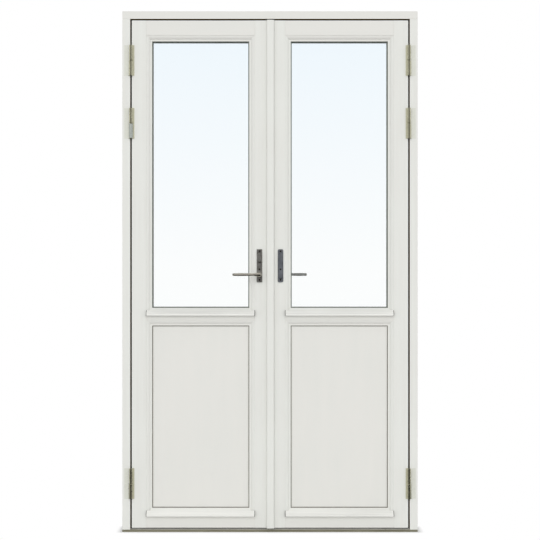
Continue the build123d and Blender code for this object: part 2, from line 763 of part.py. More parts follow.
def outside_lever():
    """A neck with a square socket, a round hub, and a bar that thins and swells again towards its tip."""
    neck_y = front_y - PLATE_THICKNESS
    bar_y = front_y - LEVER_STANDOFF
    neck = bar_along_y(handle_x, HANDLE_HEIGHT, NECK_RADIUS, (bar_y, neck_y))
    taper_x = handle_x + LEVER_TAPER
    tip_x = handle_x + LEVER_LENGTH
    swell_x = taper_x + (tip_x - taper_x) * LEVER_SWELL_SHARE
    hub_start = (handle_x - LEVER_HUB, 0)
    hub_top = (handle_x, LEVER_HUB)
    hub = RadiusArc(hub_start, hub_top, LEVER_HUB)
    tip_start = (tip_x - LEVER_TIP, LEVER_TIP)
    tip = RadiusArc(tip_start, (tip_x, 0), LEVER_TIP)
    side = Polyline(hub_top, (taper_x, LEVER_THIN), (swell_x, LEVER_THICK), tip_start)
    axis_line = Line((tip_x, 0), hub_start)
    bar = Pos(0, bar_y, HANDLE_HEIGHT) * revolve(make_face(hub + side + tip + axis_line), axis=Axis.X)
    half = SPINDLE_SIZE / 2
    socket = block((handle_x - half, handle_x + half), (neck_y - SOCKET_DEPTH, neck_y),
                   (HANDLE_HEIGHT - half, HANDLE_HEIGHT + half))
    return neck + bar - socket


def spindle(through):
    """The square bar from lever to lever, or from the gear to the inside lever."""
    half = SPINDLE_SIZE / 2
    reach = SOCKET_DEPTH + PLATE_THICKNESS
    outer_y = front_y - reach if through else leaf_mid_y - case_depth / 2
    return block((handle_x - half, handle_x + half), (outer_y, leaf_back_y + reach),
                 (HANDLE_HEIGHT - half, HANDLE_HEIGHT + half))


# Frame

def cut_all(shape, cutters):
    for cutter in cutters:
        shape -= cutter
    return shape


def head_groove():
    """The V-groove where the head sits on the right jamb."""
    return along_x(groove_section(front_y, head_under), (jamb_inner, frame_side + OVERRUN))


def jamb():
    """The right jamb: face part, stop behind the leaf, hinge-plate recesses and fixing holes."""
    eased_corners = ((jamb_inner, front_y), (frame_side, front_y), (stop_inner, back_y), (stop_inner, stop_y))
    section = Polygon(
        eased_corners[0],
        eased_corners[1],
        (frame_side, back_y),
        eased_corners[2],
        eased_corners[3],
        (jamb_inner, stop_y),
        align=None,
    )
    post = along_z(eased(section, eased_corners, FRAME_ARRIS), (THRESHOLD_THICKNESS, head_under))
    plate_y = (front_y - OVERRUN, front_y - JAMB_PLATE_PROUD + JAMB_PLATE_THICKNESS)
    recesses = [block(jamb_plate_range(), plate_y, hinge_ranges(height)[2]) for height in hinge_heights]
    fixing_y = (stop_y + back_y) / 2
    hole = Rot(0, 90, 0) * Cylinder(FIXING_RADIUS, 2 * (frame_side - stop_inner) + OVERRUN)
    holes = [Pos(frame_side, fixing_y, FRAME_HEIGHT * share) * hole for share in FIXING_HEIGHT_SHARES]
    return cut_all(post, [*recesses, *holes, head_groove()])


def rod_slot(z_range):
    """Room for a rod and its play, as far as it shoots."""
    return block((rod_inner - KEEP_CLEARANCE, rod_outer + KEEP_CLEARANCE),
                 (rod_sides[0] - KEEP_CLEARANCE, rod_sides[1] + KEEP_CLEARANCE), z_range)


def both_sides(shape):
    return [shape, mirror(shape, about=Plane.YZ)]


def keep_block(z_range):
    half = KEEP_LENGTH / 2
    side = KEEP_WIDTH / 2
    return block((rod_mid - side, rod_mid + side), (leaf_mid_y - half, leaf_mid_y + half), z_range)


head_keep_z = (head_under, head_under + KEEP_THICKNESS)
threshold_keep_z = (THRESHOLD_THICKNESS - KEEP_THICKNESS, THRESHOLD_THICKNESS)
head_slot_z = (head_under - OVERRUN, leaf_top + rod_travel + KEEP_CLEARANCE)
threshold_slot_z = (-OVERRUN, strip_top + OVERRUN)


def rod_keeps():
    """Slotted plates in the head and in the threshold that take the shot rods."""
    upper = keep_block(head_keep_z) - rod_slot(head_slot_z)
    lower = keep_block(threshold_keep_z) - rod_slot(threshold_slot_z)
    return Compound(children=both_sides(upper) + both_sides(lower))


def head():
    """The head runs over both jambs, with the stop between the jambs' stops."""
    outer_corners = ((front_y, head_under), (front_y, FRAME_HEIGHT))
    face = Polygon(*outer_corners, (back_y, FRAME_HEIGHT), (back_y, head_under), align=None)
    bar = along_x(eased(face, outer_corners, FRAME_ARRIS), (-frame_side, frame_side))
    stop_corners = ((back_y, stop_under), (stop_y, stop_under))
    stop = Polygon((stop_y, head_under), (back_y, head_under), *stop_corners, align=None)
    bar += along_x(eased(stop, stop_corners, FRAME_ARRIS), (-stop_inner, stop_inner))
    cuts = both_sides(keep_block((head_under - OVERRUN, head_keep_z[1]))) + both_sides(rod_slot(head_slot_z))
    return cut_all(bar, cuts + both_sides(head_groove()))


def threshold():
    """A low sill under the jambs, with a round nose and a weathered stop behind the leaves."""
    nose = (front_y, THRESHOLD_THICKNESS)
    section = Polygon((front_y, 0), (back_y, 0), (back_y, THRESHOLD_THICKNESS), nose, align=None)
    base = along_x(eased(section, (nose,), THRESHOLD_ROUND), (-frame_side, frame_side))
    stop = Polygon(
        (stop_y, THRESHOLD_THICKNESS),
        (back_y, THRESHOLD_THICKNESS),
        (back_y, threshold_stop_top - THRESHOLD_STOP_FALL),
        (stop_y + SEAL_WIDTH, threshold_stop_top),
        (stop_y, threshold_stop_top),
        align=None,
    )
    base += along_x(stop, (-stop_inner, stop_inner))
    cuts = both_sides(keep_block((threshold_keep_z[0], THRESHOLD_THICKNESS + OVERRUN)))
    return cut_all(base, cuts + both_sides(rod_slot(threshold_slot_z)))


def threshold_strip():
    """An aluminium strip between the jambs, under the leaves, slotted for the rods."""
    y_range = (front_y + STRIP_SETBACK, front_y + STRIP_SETBACK + STRIP_DEPTH)
    strip = block((-jamb_inner, jamb_inner), y_range, (THRESHOLD_THICKNESS, strip_top))
    return cut_all(strip, both_sides(rod_slot(threshold_slot_z)))


def frame_seal():
    """One welded seal on the stops, all round behind the leaves."""
    side = (stop_inner + leaf_outer + SEAL_WIDTH) / 2
    high = (stop_under + leaf_top + SEAL_WIDTH) / 2
    low = (leaf_bottom + threshold_stop_top - SEAL_WIDTH) / 2
    outer = (-side, side, low, high)
    return ring(outer, grown(outer, -SEAL_WIDTH), (leaf_back_y + SEAL_CLEARANCE, stop_y))


# All the pieces, by node

def leaf_pieces(active):
    """The pieces of one leaf, drawn on the right-hand side."""
    hinge_stile = stile(flat_outer, leaf_outer, leaf_outer)
    meeting_stile = stile(flat_inner, leaf_inner, leaf_inner + MEETING_BEVEL)
    joints = (bottom_joint, mid_joint, top_joint)
    hinge_cuts = hinge_recesses() + joint_grooves((flat_outer,), joints)
    meeting_cuts = lock_recesses(active) + screw_pilots() + joint_grooves((flat_inner,), joints)
    rail_lines = (flat_inner, flat_outer)
    pieces = {
        "hinge_stile": cut_all(hinge_stile, hinge_cuts),
        "meeting_stile": cut_all(meeting_stile, meeting_cuts),
        "top_rail": cut_all(top_rail(), joint_grooves(rail_lines, (top_joint,))),
        "mid_rail": cut_all(mid_rail(), joint_grooves(rail_lines, (mid_joint,))),
        "bottom_rail": cut_all(bottom_rail(), joint_grooves(rail_lines, (bottom_joint,))),
        "sill_bars": Compound(children=[sill_bar(glass_low), sill_bar(panel_low)]),
        "glass_panes": glass_panes(),
        "glass_spacer": glass_spacer(),
        "glass_gaskets": gaskets(glass_opening, GLASS_GASKET_LIP),
        "glass_beads": beads(glass_opening),
        "panel": panel(),
        "panel_gaskets": gaskets(panel_opening, PANEL_GASKET_LIP),
        "panel_beads": beads(panel_opening),
        "hinge_halves": Compound(children=[hinge_leaf_half(height) for height in hinge_heights]),
        "faceplate": faceplate(),
        "gear_case": gear_case(),
        "drive_gear": drive_gear(),
        "top_rod": top_rod(),
        "bottom_rod": bottom_rod(),
        "spindle": spindle(active),
        "outside_plate": lever_plate(True) if active else blind_plate(),
        "inside_plate": to_inside(lever_plate(False)),
        "plate_screws": plate_screws(),
        "inside_lever": to_inside(outside_lever()),
    }
    if active:
        pieces["outside_lever"] = outside_lever()
        pieces["cover_strip"] = cover_strip()
    return pieces


def frame_pieces():
    """The pieces that stay on the wall."""
    halves = [hinge_frame_half(height) for height in hinge_heights]
    right_jamb = jamb()
    return {
        "left_jamb": mirror(right_jamb, about=Plane.YZ),
        "right_jamb": right_jamb,
        "head": head(),
        "threshold": threshold(),
        "threshold_strip": threshold_strip(),
        "frame_seal": frame_seal(),
        "hinge_frame_halves": Compound(children=halves + [mirror(half, about=Plane.YZ) for half in halves]),
        "hinge_sleeve": mirror(hinge_sleeve(), about=Plane.YZ),
        "rod_keeps": rod_keeps(),
    }


def main():
    os.makedirs("parts", exist_ok=True)
    nodes = frame_pieces()
    for name, shape in leaf_pieces(True).items():
        nodes["active_" + name] = mirror(shape, about=Plane.YZ)
    for name, shape in leaf_pieces(False).items():
        nodes["passive_" + name] = shape
    for name, shape in nodes.items():
        export_step(shape, "parts/" + name + ".step")


main()
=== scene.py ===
import math

import bmesh
import bpy
from bpy.props import FloatProperty, FloatVectorProperty, IntProperty, PointerProperty
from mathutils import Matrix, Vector


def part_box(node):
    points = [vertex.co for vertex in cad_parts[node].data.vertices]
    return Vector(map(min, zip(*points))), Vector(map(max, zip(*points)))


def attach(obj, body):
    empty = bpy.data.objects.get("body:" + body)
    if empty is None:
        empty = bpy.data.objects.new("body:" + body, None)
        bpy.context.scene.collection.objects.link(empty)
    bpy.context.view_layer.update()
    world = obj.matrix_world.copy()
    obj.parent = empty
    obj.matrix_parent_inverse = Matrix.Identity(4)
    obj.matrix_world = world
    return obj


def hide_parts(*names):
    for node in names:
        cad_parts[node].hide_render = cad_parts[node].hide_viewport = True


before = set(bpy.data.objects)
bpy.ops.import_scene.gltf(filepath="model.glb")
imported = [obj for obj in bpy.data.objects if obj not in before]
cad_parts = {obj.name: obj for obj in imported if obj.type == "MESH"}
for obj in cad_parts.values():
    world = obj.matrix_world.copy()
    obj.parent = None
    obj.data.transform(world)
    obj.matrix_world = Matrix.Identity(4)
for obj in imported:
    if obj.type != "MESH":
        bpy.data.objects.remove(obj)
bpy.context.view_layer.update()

bl_info = {
    "name": "French doors finish",
    "version": (1, 0, 0),
    "blender": (4, 5, 0),
    "location": "3D View > Sidebar > Doors",
    "description": "Gives the packed French doors their finishes, fasteners, seals and studio",
    "category": "Object",
}

LEAVES = ("active", "passive")
MM = 0.001
WHITE = (1, 1, 1, 1)

# Places that the finish reads from the frame, in metres
FRAME_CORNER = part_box("head")[1]
FACE_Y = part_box("right_jamb")[0].y
LEAF_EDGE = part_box("passive_hinge_stile")[1].x
STOP_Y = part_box("frame_seal")[1].y
STRIP_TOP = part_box("threshold_strip")[1].z
# The painted shade covers what lies within this of the strip's top
SHADE_EDGE = 0.3 * MM
# Widths of the jambs' and the head's faces, up to the rebate
JAMB_FACE = 32 * MM
HEAD_FACE = 31 * MM
REBATE_CORNER = FRAME_CORNER - Vector((JAMB_FACE, 0, HEAD_FACE))
# The paint ends, and the painted shade of the rebate begins, part of the way round the rebate's rounded
# edge
PAINT_LINE = 1.4 * MM
PAINT_TURN = 0.2 * MM
# Corners of a CAD node that lie nearer than this are one
WELD = 0.01 * MM

# Noise seldom leaves these bounds, so they are stretched to 0 and 1
NOISE_LOW = 0.3
NOISE_HIGH = 0.7

# A screw's cross slot as shares of its head's radius, the rings of a head, the sides of the seal's bulb,
# and the seed that turns the screws
SLOT_LENGTH = 1.15
SLOT_WIDTH = 0.34
HEAD_RINGS = 12
BULB_SIDES = 14
SCREW_SEED = 7

# Where the studio's sky and its unlit end begin and end, as parts of a unit direction
SKY_RISE = 0.15
FLANK_START = (0.3, 0.4)
FLANK_END = (0.62, 0.8)
UNDER = (-0.02, -0.08)
BEHIND = (-0.2, -0.4)


def linear(hex_colour):
    """An sRGB hex value as linear red, green, blue and alpha."""
    shares = [int(hex_colour[n:n + 2], 16) / 255 for n in (0, 2, 4)]
    return (*[s / 12.92 if s <= 0.04045 else ((s + 0.055) / 1.055) ** 2.4 for s in shares], 1.0)


def per_metre(*sizes_mm):
    """How many times patterns of these sizes in millimetres repeat in a metre."""
    return tuple(1000 / size for size in sizes_mm)


def add_node(tree, kind, inputs=None, **settings):
    """Adds a node, gives it its settings, and sets its inputs; a socket or a list of sockets is linked."""
    node = tree.nodes.new(kind)
    for name, value in settings.items():
        setattr(node, name, value)
    for name, value in (inputs or {}).items():
        if isinstance(value, bpy.types.NodeSocket):
            value = [value]
        if isinstance(value, list):
            for socket in value:
                tree.links.new(socket, node.inputs[name])
        else:
            node.inputs[name].default_value = value
    return node


# Materials

def blank_material(name):
    """A material with an empty node tree, and the object's own coordinates to hang patterns on."""
    material = bpy.data.materials.new(name)
    material.use_nodes = True
    tree = material.node_tree
    tree.nodes.clear()
    return material, tree, add_node(tree, "ShaderNodeTexCoord").outputs["Object"]


def clouded(tree, place, colour, shade, sizes_mm, detail):
    """A pattern of the given sizes: its height, its share from 0 to 1, and its tone."""
    along = add_node(tree, "ShaderNodeMapping", {"Vector": place, "Scale": per_metre(*sizes_mm)})
    noise = add_node(tree, "ShaderNodeTexNoise", {
        "Vector": along.outputs["Vector"], "Scale": 1.0, "Detail": detail})
    share = add_node(tree, "ShaderNodeMapRange", {
        "Value": noise.outputs["Fac"], "From Min": NOISE_LOW, "From Max": NOISE_HIGH})
    tone = add_node(tree, "ShaderNodeMix", {
        0: share.outputs["Result"], 6: colour, 7: shade}, data_type="RGBA")
    return noise.outputs["Fac"], share.outputs["Result"], tone.outputs[2]


def patterned(name, tones, sizes_mm, detail, roughness, spread, depth_mm, body):
    """A material whose tone, shine and relief follow one pattern; body sets the shader's other inputs."""
    material, tree, place = blank_material(name)
    height, share, tone = clouded(tree, place, *tones, sizes_mm, detail)
    shine = add_node(tree, "ShaderNodeMapRange", {
        "Value": share, "To Min": roughness - spread, "To Max": roughness + spread})
    relief = add_node(tree, "ShaderNodeBump", {"Height": height, "Distance": depth_mm * MM})
    surface = add_node(tree, "ShaderNodeBsdfPrincipled", {
        "Base Color": tone, "Roughness": shine.outputs["Result"],
        "Normal": relief.outputs["Normal"], **body})
    add_node(tree, "ShaderNodeOutputMaterial", {"Surface": surface.outputs["BSDF"]})
    return material


def in_rebate(tree, place):
    """1 on the faces of the frame that lie behind the gaps round the leaves, where the painted shade goes,
    0 elsewhere.
    """
    corner = add_node(tree, "ShaderNodeVectorMath", {0: place}, operation="ABSOLUTE")
    corner = add_node(tree, "ShaderNodeVectorMath", {
        0: corner.outputs["Vector"], 1: REBATE_CORNER}, operation="SUBTRACT")
    past = add_node(tree, "ShaderNodeSeparateXYZ", {"Vector": corner.outputs["Vector"]}).outputs
    out = add_node(tree, "ShaderNodeMath", {0: past["X"], 1: past["Z"]}, operation="MAXIMUM")
    inside = add_node(tree, "ShaderNodeMath", {
        0: out.outputs["Value"], 1: PAINT_LINE}, operation="LESS_THAN")
    depth = add_node(tree, "ShaderNodeSeparateXYZ", {"Vector": place}).outputs["Y"]
    behind = add_node(tree, "ShaderNodeMath", {
        0: depth, 1: FACE_Y + PAINT_TURN}, operation="GREATER_THAN")
    before = add_node(tree, "ShaderNodeMath", {0: depth, 1: STOP_Y}, operation="LESS_THAN")
    level = add_node(tree, "ShaderNodeMath", {
        0: behind.outputs["Value"], 1: before.outputs["Value"]}, operation="MULTIPLY")
    both = add_node(tree, "ShaderNodeMath", {
        0: inside.outputs["Value"], 1: level.outputs["Value"]}, operation="MULTIPLY")
    return both.outputs["Value"]


def sprayed_pine(name, colour, shade, grain_mm, gap_painted_shade=None):
    """Pine under sprayed satin paint: nearly even, with the grain just telling through the film.

    On the frame the rebate behind the gaps is drawn a dark matt brown, painted shade, so the gaps look
    deep.
    """
    material, tree, place = blank_material(name)
    # Grain lines 1 to 2 mm apart would not show, so they are drawn coarser, at grain_mm
    along = add_node(tree, "ShaderNodeMapping", {"Vector": place, "Scale": per_metre(*grain_mm)})
    grain = add_node(tree, "ShaderNodeTexNoise", {
        "Vector": along.outputs["Vector"], "Scale": 1.0, "Detail": 3.0}).outputs["Fac"]
    # The film's thickness drifts over about 260 mm
    drift = add_node(tree, "ShaderNodeTexNoise", {
        "Vector": place, "Scale": per_metre(260)[0], "Detail": 1.0}).outputs["Fac"]
    share = add_node(tree, "ShaderNodeMath", {0: grain, 1: drift}, operation="MULTIPLY")
    share = add_node(tree, "ShaderNodeMapRange", {
        "Value": share.outputs["Value"], "From Min": 0.12, "From Max": 0.42})
    tone = add_node(tree, "ShaderNodeMix", {
        0: share.outputs["Result"], 6: colour, 7: shade}, data_type="RGBA")
    sheen = add_node(tree, "ShaderNodeMapRange", {
        "Value": grain, "From Min": NOISE_LOW, "From Max": NOISE_HIGH, "To Min": 0.38, "To Max": 0.48})
    # The spray's stipple is about 1 mm across and is drawn at 3 mm
    stipple = add_node(tree, "ShaderNodeTexNoise", {
        "Vector": place, "Scale": per_metre(3)[0], "Detail": 1.0}).outputs["Fac"]
    wavy = add_node(tree, "ShaderNodeBump", {"Height": stipple, "Distance": 0.02 * MM})
    relief = add_node(tree, "ShaderNodeBump", {
        "Height": grain, "Distance": 0.08 * MM, "Normal": wavy.outputs["Normal"]})
    paint = add_node(tree, "ShaderNodeBsdfPrincipled", {
        "Base Color": tone.outputs[2], "Roughness": sheen.outputs["Result"], "IOR": 1.5,
        "Normal": relief.outputs["Normal"]})
    surface = paint.outputs["BSDF"]
    # The rebate behind the gaps: painted shade in dark brown
    if gap_painted_shade:
        bare = add_node(tree, "ShaderNodeBsdfPrincipled", {
            "Base Color": gap_painted_shade, "Roughness": 1.0, "Specular IOR Level": 0.0})
        surface = add_node(tree, "ShaderNodeMixShader", {
            0: in_rebate(tree, place), 1: surface, 2: bare.outputs["BSDF"]}).outputs["Shader"]
    add_node(tree, "ShaderNodeOutputMaterial", {"Surface": surface})
    return material


def oiled_oak(name, *tones):
    """Weathered oiled oak: long dark pores along the sill and a dull, greyed surface."""
    # Pores 0.3 mm wide are drawn 5 mm wide so that they show
    return patterned(
        name, tones, sizes_mm=(160, 5, 5), detail=6.0, roughness=0.61, spread=0.11, depth_mm=0.3,
        body={"IOR": 1.48})


def drawn_metal(name, *tones, grain_mm, roughness):
    """Bare or plated metal drawn, rolled or brushed one way, so that its shine breaks into fine lines."""
    # Brush and roll lines of a tenth of a millimetre are drawn coarser, at grain_mm
    return patterned(
        name, tones, sizes_mm=grain_mm, detail=4.0, roughness=roughness, spread=0.06, depth_mm=0.03,
        body={"Metallic": 1.0})


def moulded_polymer(name, *tones, mottle_mm, roughness, index):
    """Rubber or plastic from a die or a mould: an even colour, faintly mottled, with a soft dull shine."""
    # Bloom and mould grain are finer than this and are drawn coarser, at mottle_mm
    sizes_mm = (mottle_mm, mottle_mm, mottle_mm)
    return patterned(
        name, tones, sizes_mm=sizes_mm, detail=4.0, roughness=roughness, spread=0.08, depth_mm=0.04,
        body={"IOR": index})


def passivated_zinc(name, finish, sizes):
    """Zinc plate under a clouded olive passivation, as hinges have.

    The lips on the leaves are drawn a pale matt olive, a painted highlight; the plates on the jambs a matt
    grey a shade darker than the jamb's paint, a painted shadow of the knuckles; and a dark line down each
    knuckle's front is a painted reflection.
    """
    material, tree, place = blank_material(name)
    # The passivation clouds over about 16 mm
    cloud, share, tone = clouded(
        tree, place, finish.zinc, finish.zinc_shade, sizes_mm=(16, 16, 16), detail=5.0)
    x = add_node(tree, "ShaderNodeSeparateXYZ", {"Vector": place}).outputs["X"]
    across = add_node(tree, "ShaderNodeMath", {0: x}, operation="ABSOLUTE").outputs["Value"]
    # The plates on the jambs get a matt grey a shade darker than the jamb's paint: painted shadow of the
    # knuckles
    on_jamb = add_node(tree, "ShaderNodeMath", {
        0: across, 1: LEAF_EDGE + sizes.jamb_plate_reach}, operation="GREATER_THAN").outputs["Value"]
    # The lips on the leaves get a pale matt olive: painted highlight
    on_leaf = add_node(tree, "ShaderNodeMath", {
        0: across, 1: LEAF_EDGE - sizes.hinge_lip_reach}, operation="LESS_THAN").outputs["Value"]
    # A dark band down the middle of each knuckle's front: painted reflection of the dark studio in front
    # of it
    from_pin = add_node(tree, "ShaderNodeMath", {
        0: across, 1: LEAF_EDGE + sizes.hinge_pin_reach}, operation="SUBTRACT")
    from_pin = add_node(tree, "ShaderNodeMath", {0: from_pin.outputs["Value"]}, operation="ABSOLUTE")
    reflection_band = add_node(tree, "ShaderNodeMapRange", {
        "Value": from_pin.outputs["Value"],
        "From Min": sizes.knuckle_dark_reflection, "From Max": sizes.knuckle_dark_reflection / 2})
    masks = (
        (reflection_band.outputs["Result"], finish.knuckle_dark_reflection),
        (on_leaf, finish.lip_painted_highlight),
        (on_jamb, finish.jamb_plate_painted_shadow),
    )
    for mask, colour in masks:
        tone = add_node(tree, "ShaderNodeMix", {0: mask, 6: tone, 7: colour}, data_type="RGBA").outputs[2]
    # No metal where the painted highlight and the painted shadow lie
    non_metal = add_node(tree, "ShaderNodeMath", {0: on_jamb, 1: on_leaf}, operation="MAXIMUM")
    bare = add_node(tree, "ShaderNodeMath", {0: 1.0, 1: non_metal.outputs["Value"]}, operation="SUBTRACT")
    gloss = add_node(tree, "ShaderNodeMapRange", {"Value": share, "To Min": 0.24, "To Max": 0.36})
    relief = add_node(tree, "ShaderNodeBump", {"Height": cloud, "Distance": 0.02 * MM})
    zinc = add_node(tree, "ShaderNodeBsdfPrincipled", {
        "Base Color": tone, "Metallic": bare.outputs["Value"], "Roughness": gloss.outputs["Result"],
        "Normal": relief.outputs["Normal"]})
    add_node(tree, "ShaderNodeOutputMaterial", {"Surface": zinc.outputs["BSDF"]})
    return material


def anodised_strip(name, finish):
    """Aluminium under a pale, dull, faintly mottled anodised film, with a dark painted shade along its top
    under the leaves.
    """
    material, tree, place = blank_material(name)
    # The film's etch is far finer than 1 mm and is drawn at 6 mm
    mottle = add_node(tree, "ShaderNodeTexNoise", {
        "Vector": place, "Scale": per_metre(6)[0], "Detail": 3.0}).outputs["Fac"]
    pale = add_node(tree, "ShaderNodeMix", {
        0: mottle, 6: finish.strip, 7: finish.strip_shade}, data_type="RGBA")
    height = add_node(tree, "ShaderNodeSeparateXYZ", {"Vector": place}).outputs["Z"]
    # Painted shade along the top of the strip, where the leaves shade it
    on_top = add_node(tree, "ShaderNodeMath", {
        0: height, 1: STRIP_TOP - SHADE_EDGE}, operation="GREATER_THAN")
    tone = add_node(tree, "ShaderNodeMix", {
        0: on_top.outputs["Value"], 6: pale.outputs[2], 7: finish.strip_top_painted_shade}, data_type="RGBA")
    relief = add_node(tree, "ShaderNodeBump", {"Height": mottle, "Distance": 0.04 * MM})
    film = add_node(tree, "ShaderNodeBsdfPrincipled", {
        "Base Color": tone.outputs[2], "Roughness": 0.6, "IOR": 1.5, "Normal": relief.outputs["Normal"]})
    add_node(tree, "ShaderNodeOutputMaterial", {"Surface": film.outputs["BSDF"]})
    return material


def float_glass(name, tint):
    """Clear float glass: flat and sharp, with a faint cool tint; lamps reach the room through it."""
    material, tree, place = blank_material(name)
    # The long, shallow waves that the rollers leave
    along = add_node(tree, "ShaderNodeMapping", {"Vector": place, "Scale": per_metre(220, 220, 700)})
    waves = add_node(tree, "ShaderNodeTexNoise", {
        "Vector": along.outputs["Vector"], "Scale": 1.0, "Detail": 0.0}).outputs["Fac"]
    relief = add_node(tree, "ShaderNodeBump", {"Height": waves, "Distance": 0.02 * MM})
    glass = add_node(tree, "ShaderNodeBsdfPrincipled", {
        "Base Color": tint, "Roughness": 0.0, "IOR": 1.52, "Transmission Weight": 1.0,
        "Normal": relief.outputs["Normal"]})
    clear = add_node(tree, "ShaderNodeBsdfTransparent", {"Color": tint})
    path = add_node(tree, "ShaderNodeLightPath").outputs
    either = add_node(tree, "ShaderNodeMixShader", {
        0: path["Is Shadow Ray"], 1: glass.outputs["BSDF"], 2: clear.outputs["BSDF"]})
    add_node(tree, "ShaderNodeOutputMaterial", {"Surface": either.outputs["Shader"]})
    return material


def finish_nodes(material, *names):
    """Gives CAD nodes a material in all their slots."""
    for name in names:
        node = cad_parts[name]
        if not node.material_slots:
            node.data.materials.append(material)
        for slot in node.material_slots:
            slot.material = material


def on_leaves(*names):
    """The names of like nodes on both leaves."""
    return [f"{leaf}_{name}" for leaf in LEAVES for name in names]


# Settings

def colour_setting(name, description, hex_colour):
    """A colour that a user may change, given as an sRGB hex value."""
    return FloatVectorProperty(
        name=name, description=description, default=linear(hex_colour), size=4, min=0, max=1,
        subtype="COLOR")


def length_setting(name, description, size_mm):
    """A length that a user may change, given in millimetres."""
    return FloatProperty(name=name, description=description, default=size_mm * MM, min=0, unit="LENGTH")


def strength_setting(name, description, strength):
    """A light's strength that a user may change."""
    return FloatProperty(
        name=name, description=description, default=strength, min=0, soft_max=2, subtype="FACTOR")


def angle_setting(name, description, degrees):
    """An angle that a user may change, given in degrees."""
    return FloatProperty(
        name=name, description=description, default=math.radians(degrees),
        subtype="ANGLE", unit="ROTATION")


class FinishSettings(bpy.types.PropertyGroup):
    """Colours of the doors' finishes."""
    upright_paint: colour_setting("Upright paint", "Paint on the stiles and jambs", "E5E6E1")
    level_paint: colour_setting("Level paint", "Paint on the rails and the head", "E3E2DD")
    # Painted light: the sill bars get a lighter copy of the rails' paint, so their sloping tops look lit
    # from above
    sill_paint_lit: colour_setting("Sill paint", "Paint on the sill bars", "F0F0EB")
    panel_paint: colour_setting("Panel paint", "Paint on the panels", "E5E4DF")
    paint_shade: colour_setting("Paint shade", "Paint where the grain tells through", "E2E2DD")
    # Painted shade: the dark brown drawn in the rebates behind the gaps
    gap_painted_shade: colour_setting("Rebate primer", "Primer in the rebates of the frame", "6A542B")
    oak: colour_setting("Threshold", "Oiled oak of the threshold", "8A8773")
    oak_shade: colour_setting("Threshold shade", "Pores of the oak", "6D6A57")
    strip: colour_setting("Threshold strip", "Matt anodised film of the threshold strip", "E2E1DB")
    strip_shade: colour_setting("Threshold strip shade", "Mottle in the anodised film", "D4D3CD")
    # Painted shade: the dark top of the strip under the leaves
    strip_top_painted_shade: colour_setting("Threshold tape", "Sealing tape along the top of the strip", "2C2A26")
    spacer: colour_setting("Glass spacer", "Rolled aluminium between the panes", "DADBD9")
    spacer_shade: colour_setting("Glass spacer shade", "Lines in the aluminium", "C2C3C1")
    glass: colour_setting("Glass", "Tint of one pane", "FDFEFE")
    rubber: colour_setting("Glazing rubber", "Glazing gaskets", "5C645B")
    rubber_shade: colour_setting("Glazing rubber shade", "Bloom on the gaskets", "6A7269")
    panel_rubber: colour_setting("Panel rubber", "Gaskets of the panels", "6B675C")
    panel_rubber_shade: colour_setting("Panel rubber shade", "Bloom on those gaskets", "787469")
    seal: colour_setting("Frame seal", "Seal on the stops", "5C4F33")
    seal_shade: colour_setting("Frame seal shade", "Bloom on the seal", "6B5D40")
    zinc: colour_setting("Hinges", "Passivated zinc of the hinges", "D2D0B8")
    zinc_shade: colour_setting("Hinge shade", "Clouds in the passivation", "BEBCA4")
    # Painted reflection: the dark line drawn down a knuckle's front
    knuckle_dark_reflection: colour_setting("Knuckle fronts", "The dark line down the front of a knuckle", "97947F")
    # Painted highlight: the lips are drawn a pale matt olive, not metal
    lip_painted_highlight: colour_setting("Hinge lips", "Paint on the lips that lie on the leaves", "BDBBA2")
    # Painted shadow: the jamb plates are drawn a shade darker than the jamb's paint, where the knuckles'
    # shadow falls
    jamb_plate_painted_shadow: colour_setting("Hinge plates", "Paint over the plates on the jambs", "D9DAD0")
    nylon: colour_setting("Hinge sleeve", "Moulded nylon sleeve", "AEB3AD")
    nylon_shade: colour_setting("Hinge sleeve shade", "Grain of the nylon", "A1A6A0")
    cap: colour_setting("Sill caps", "End caps of the sill bars", "4A4A46")
    cap_shade: colour_setting("Sill cap shade", "Grain of the caps", "5A5A55")
    lock: colour_setting("Lock steel", "Bright zinc on the lock", "C9C9C6")
    lock_shade: colour_setting("Lock steel shade", "Lines in the lock steel", "B2B2AF")
    plate: colour_setting("Plates", "Pewter of the handle plates", "979591")
    plate_shade: colour_setting("Plate shade", "Dark clouds in the pewter", "787672")
    blind_plate: colour_setting("Blind plate", "Pewter of the passive leaf's outside plate", "8A8D93")
    blind_plate_shade: colour_setting("Blind plate shade", "Dark clouds in that pewter", "72757C")
    nickel: colour_setting("Levers", "Brushed nickel of the outside lever", "BEB9AE")
    nickel_shade: colour_setting("Lever shade", "Lines in the nickel", "A8A399")
    # The levers on the room side are drawn in a dark olive metal, far darker than the outside lever
    room_lever: colour_setting("Inside levers", "Bronzed nickel of the levers on the room side", "4D4D41")
    room_lever_shade: colour_setting("Inside lever shade", "Lines in the bronzed nickel", "3D3D32")
    plate_screw: colour_setting("Plate screws", "Browned steel of the plates' screws", "56524C")
    plate_screw_shade: colour_setting("Plate screw shade", "Lines in the browned steel", "3E3B36")
    screw: colour_setting("Screws", "Steel of the screws", "CFCBC3")
    screw_shade: colour_setting("Screw shade", "Lines in the screws", "B4AFA6")


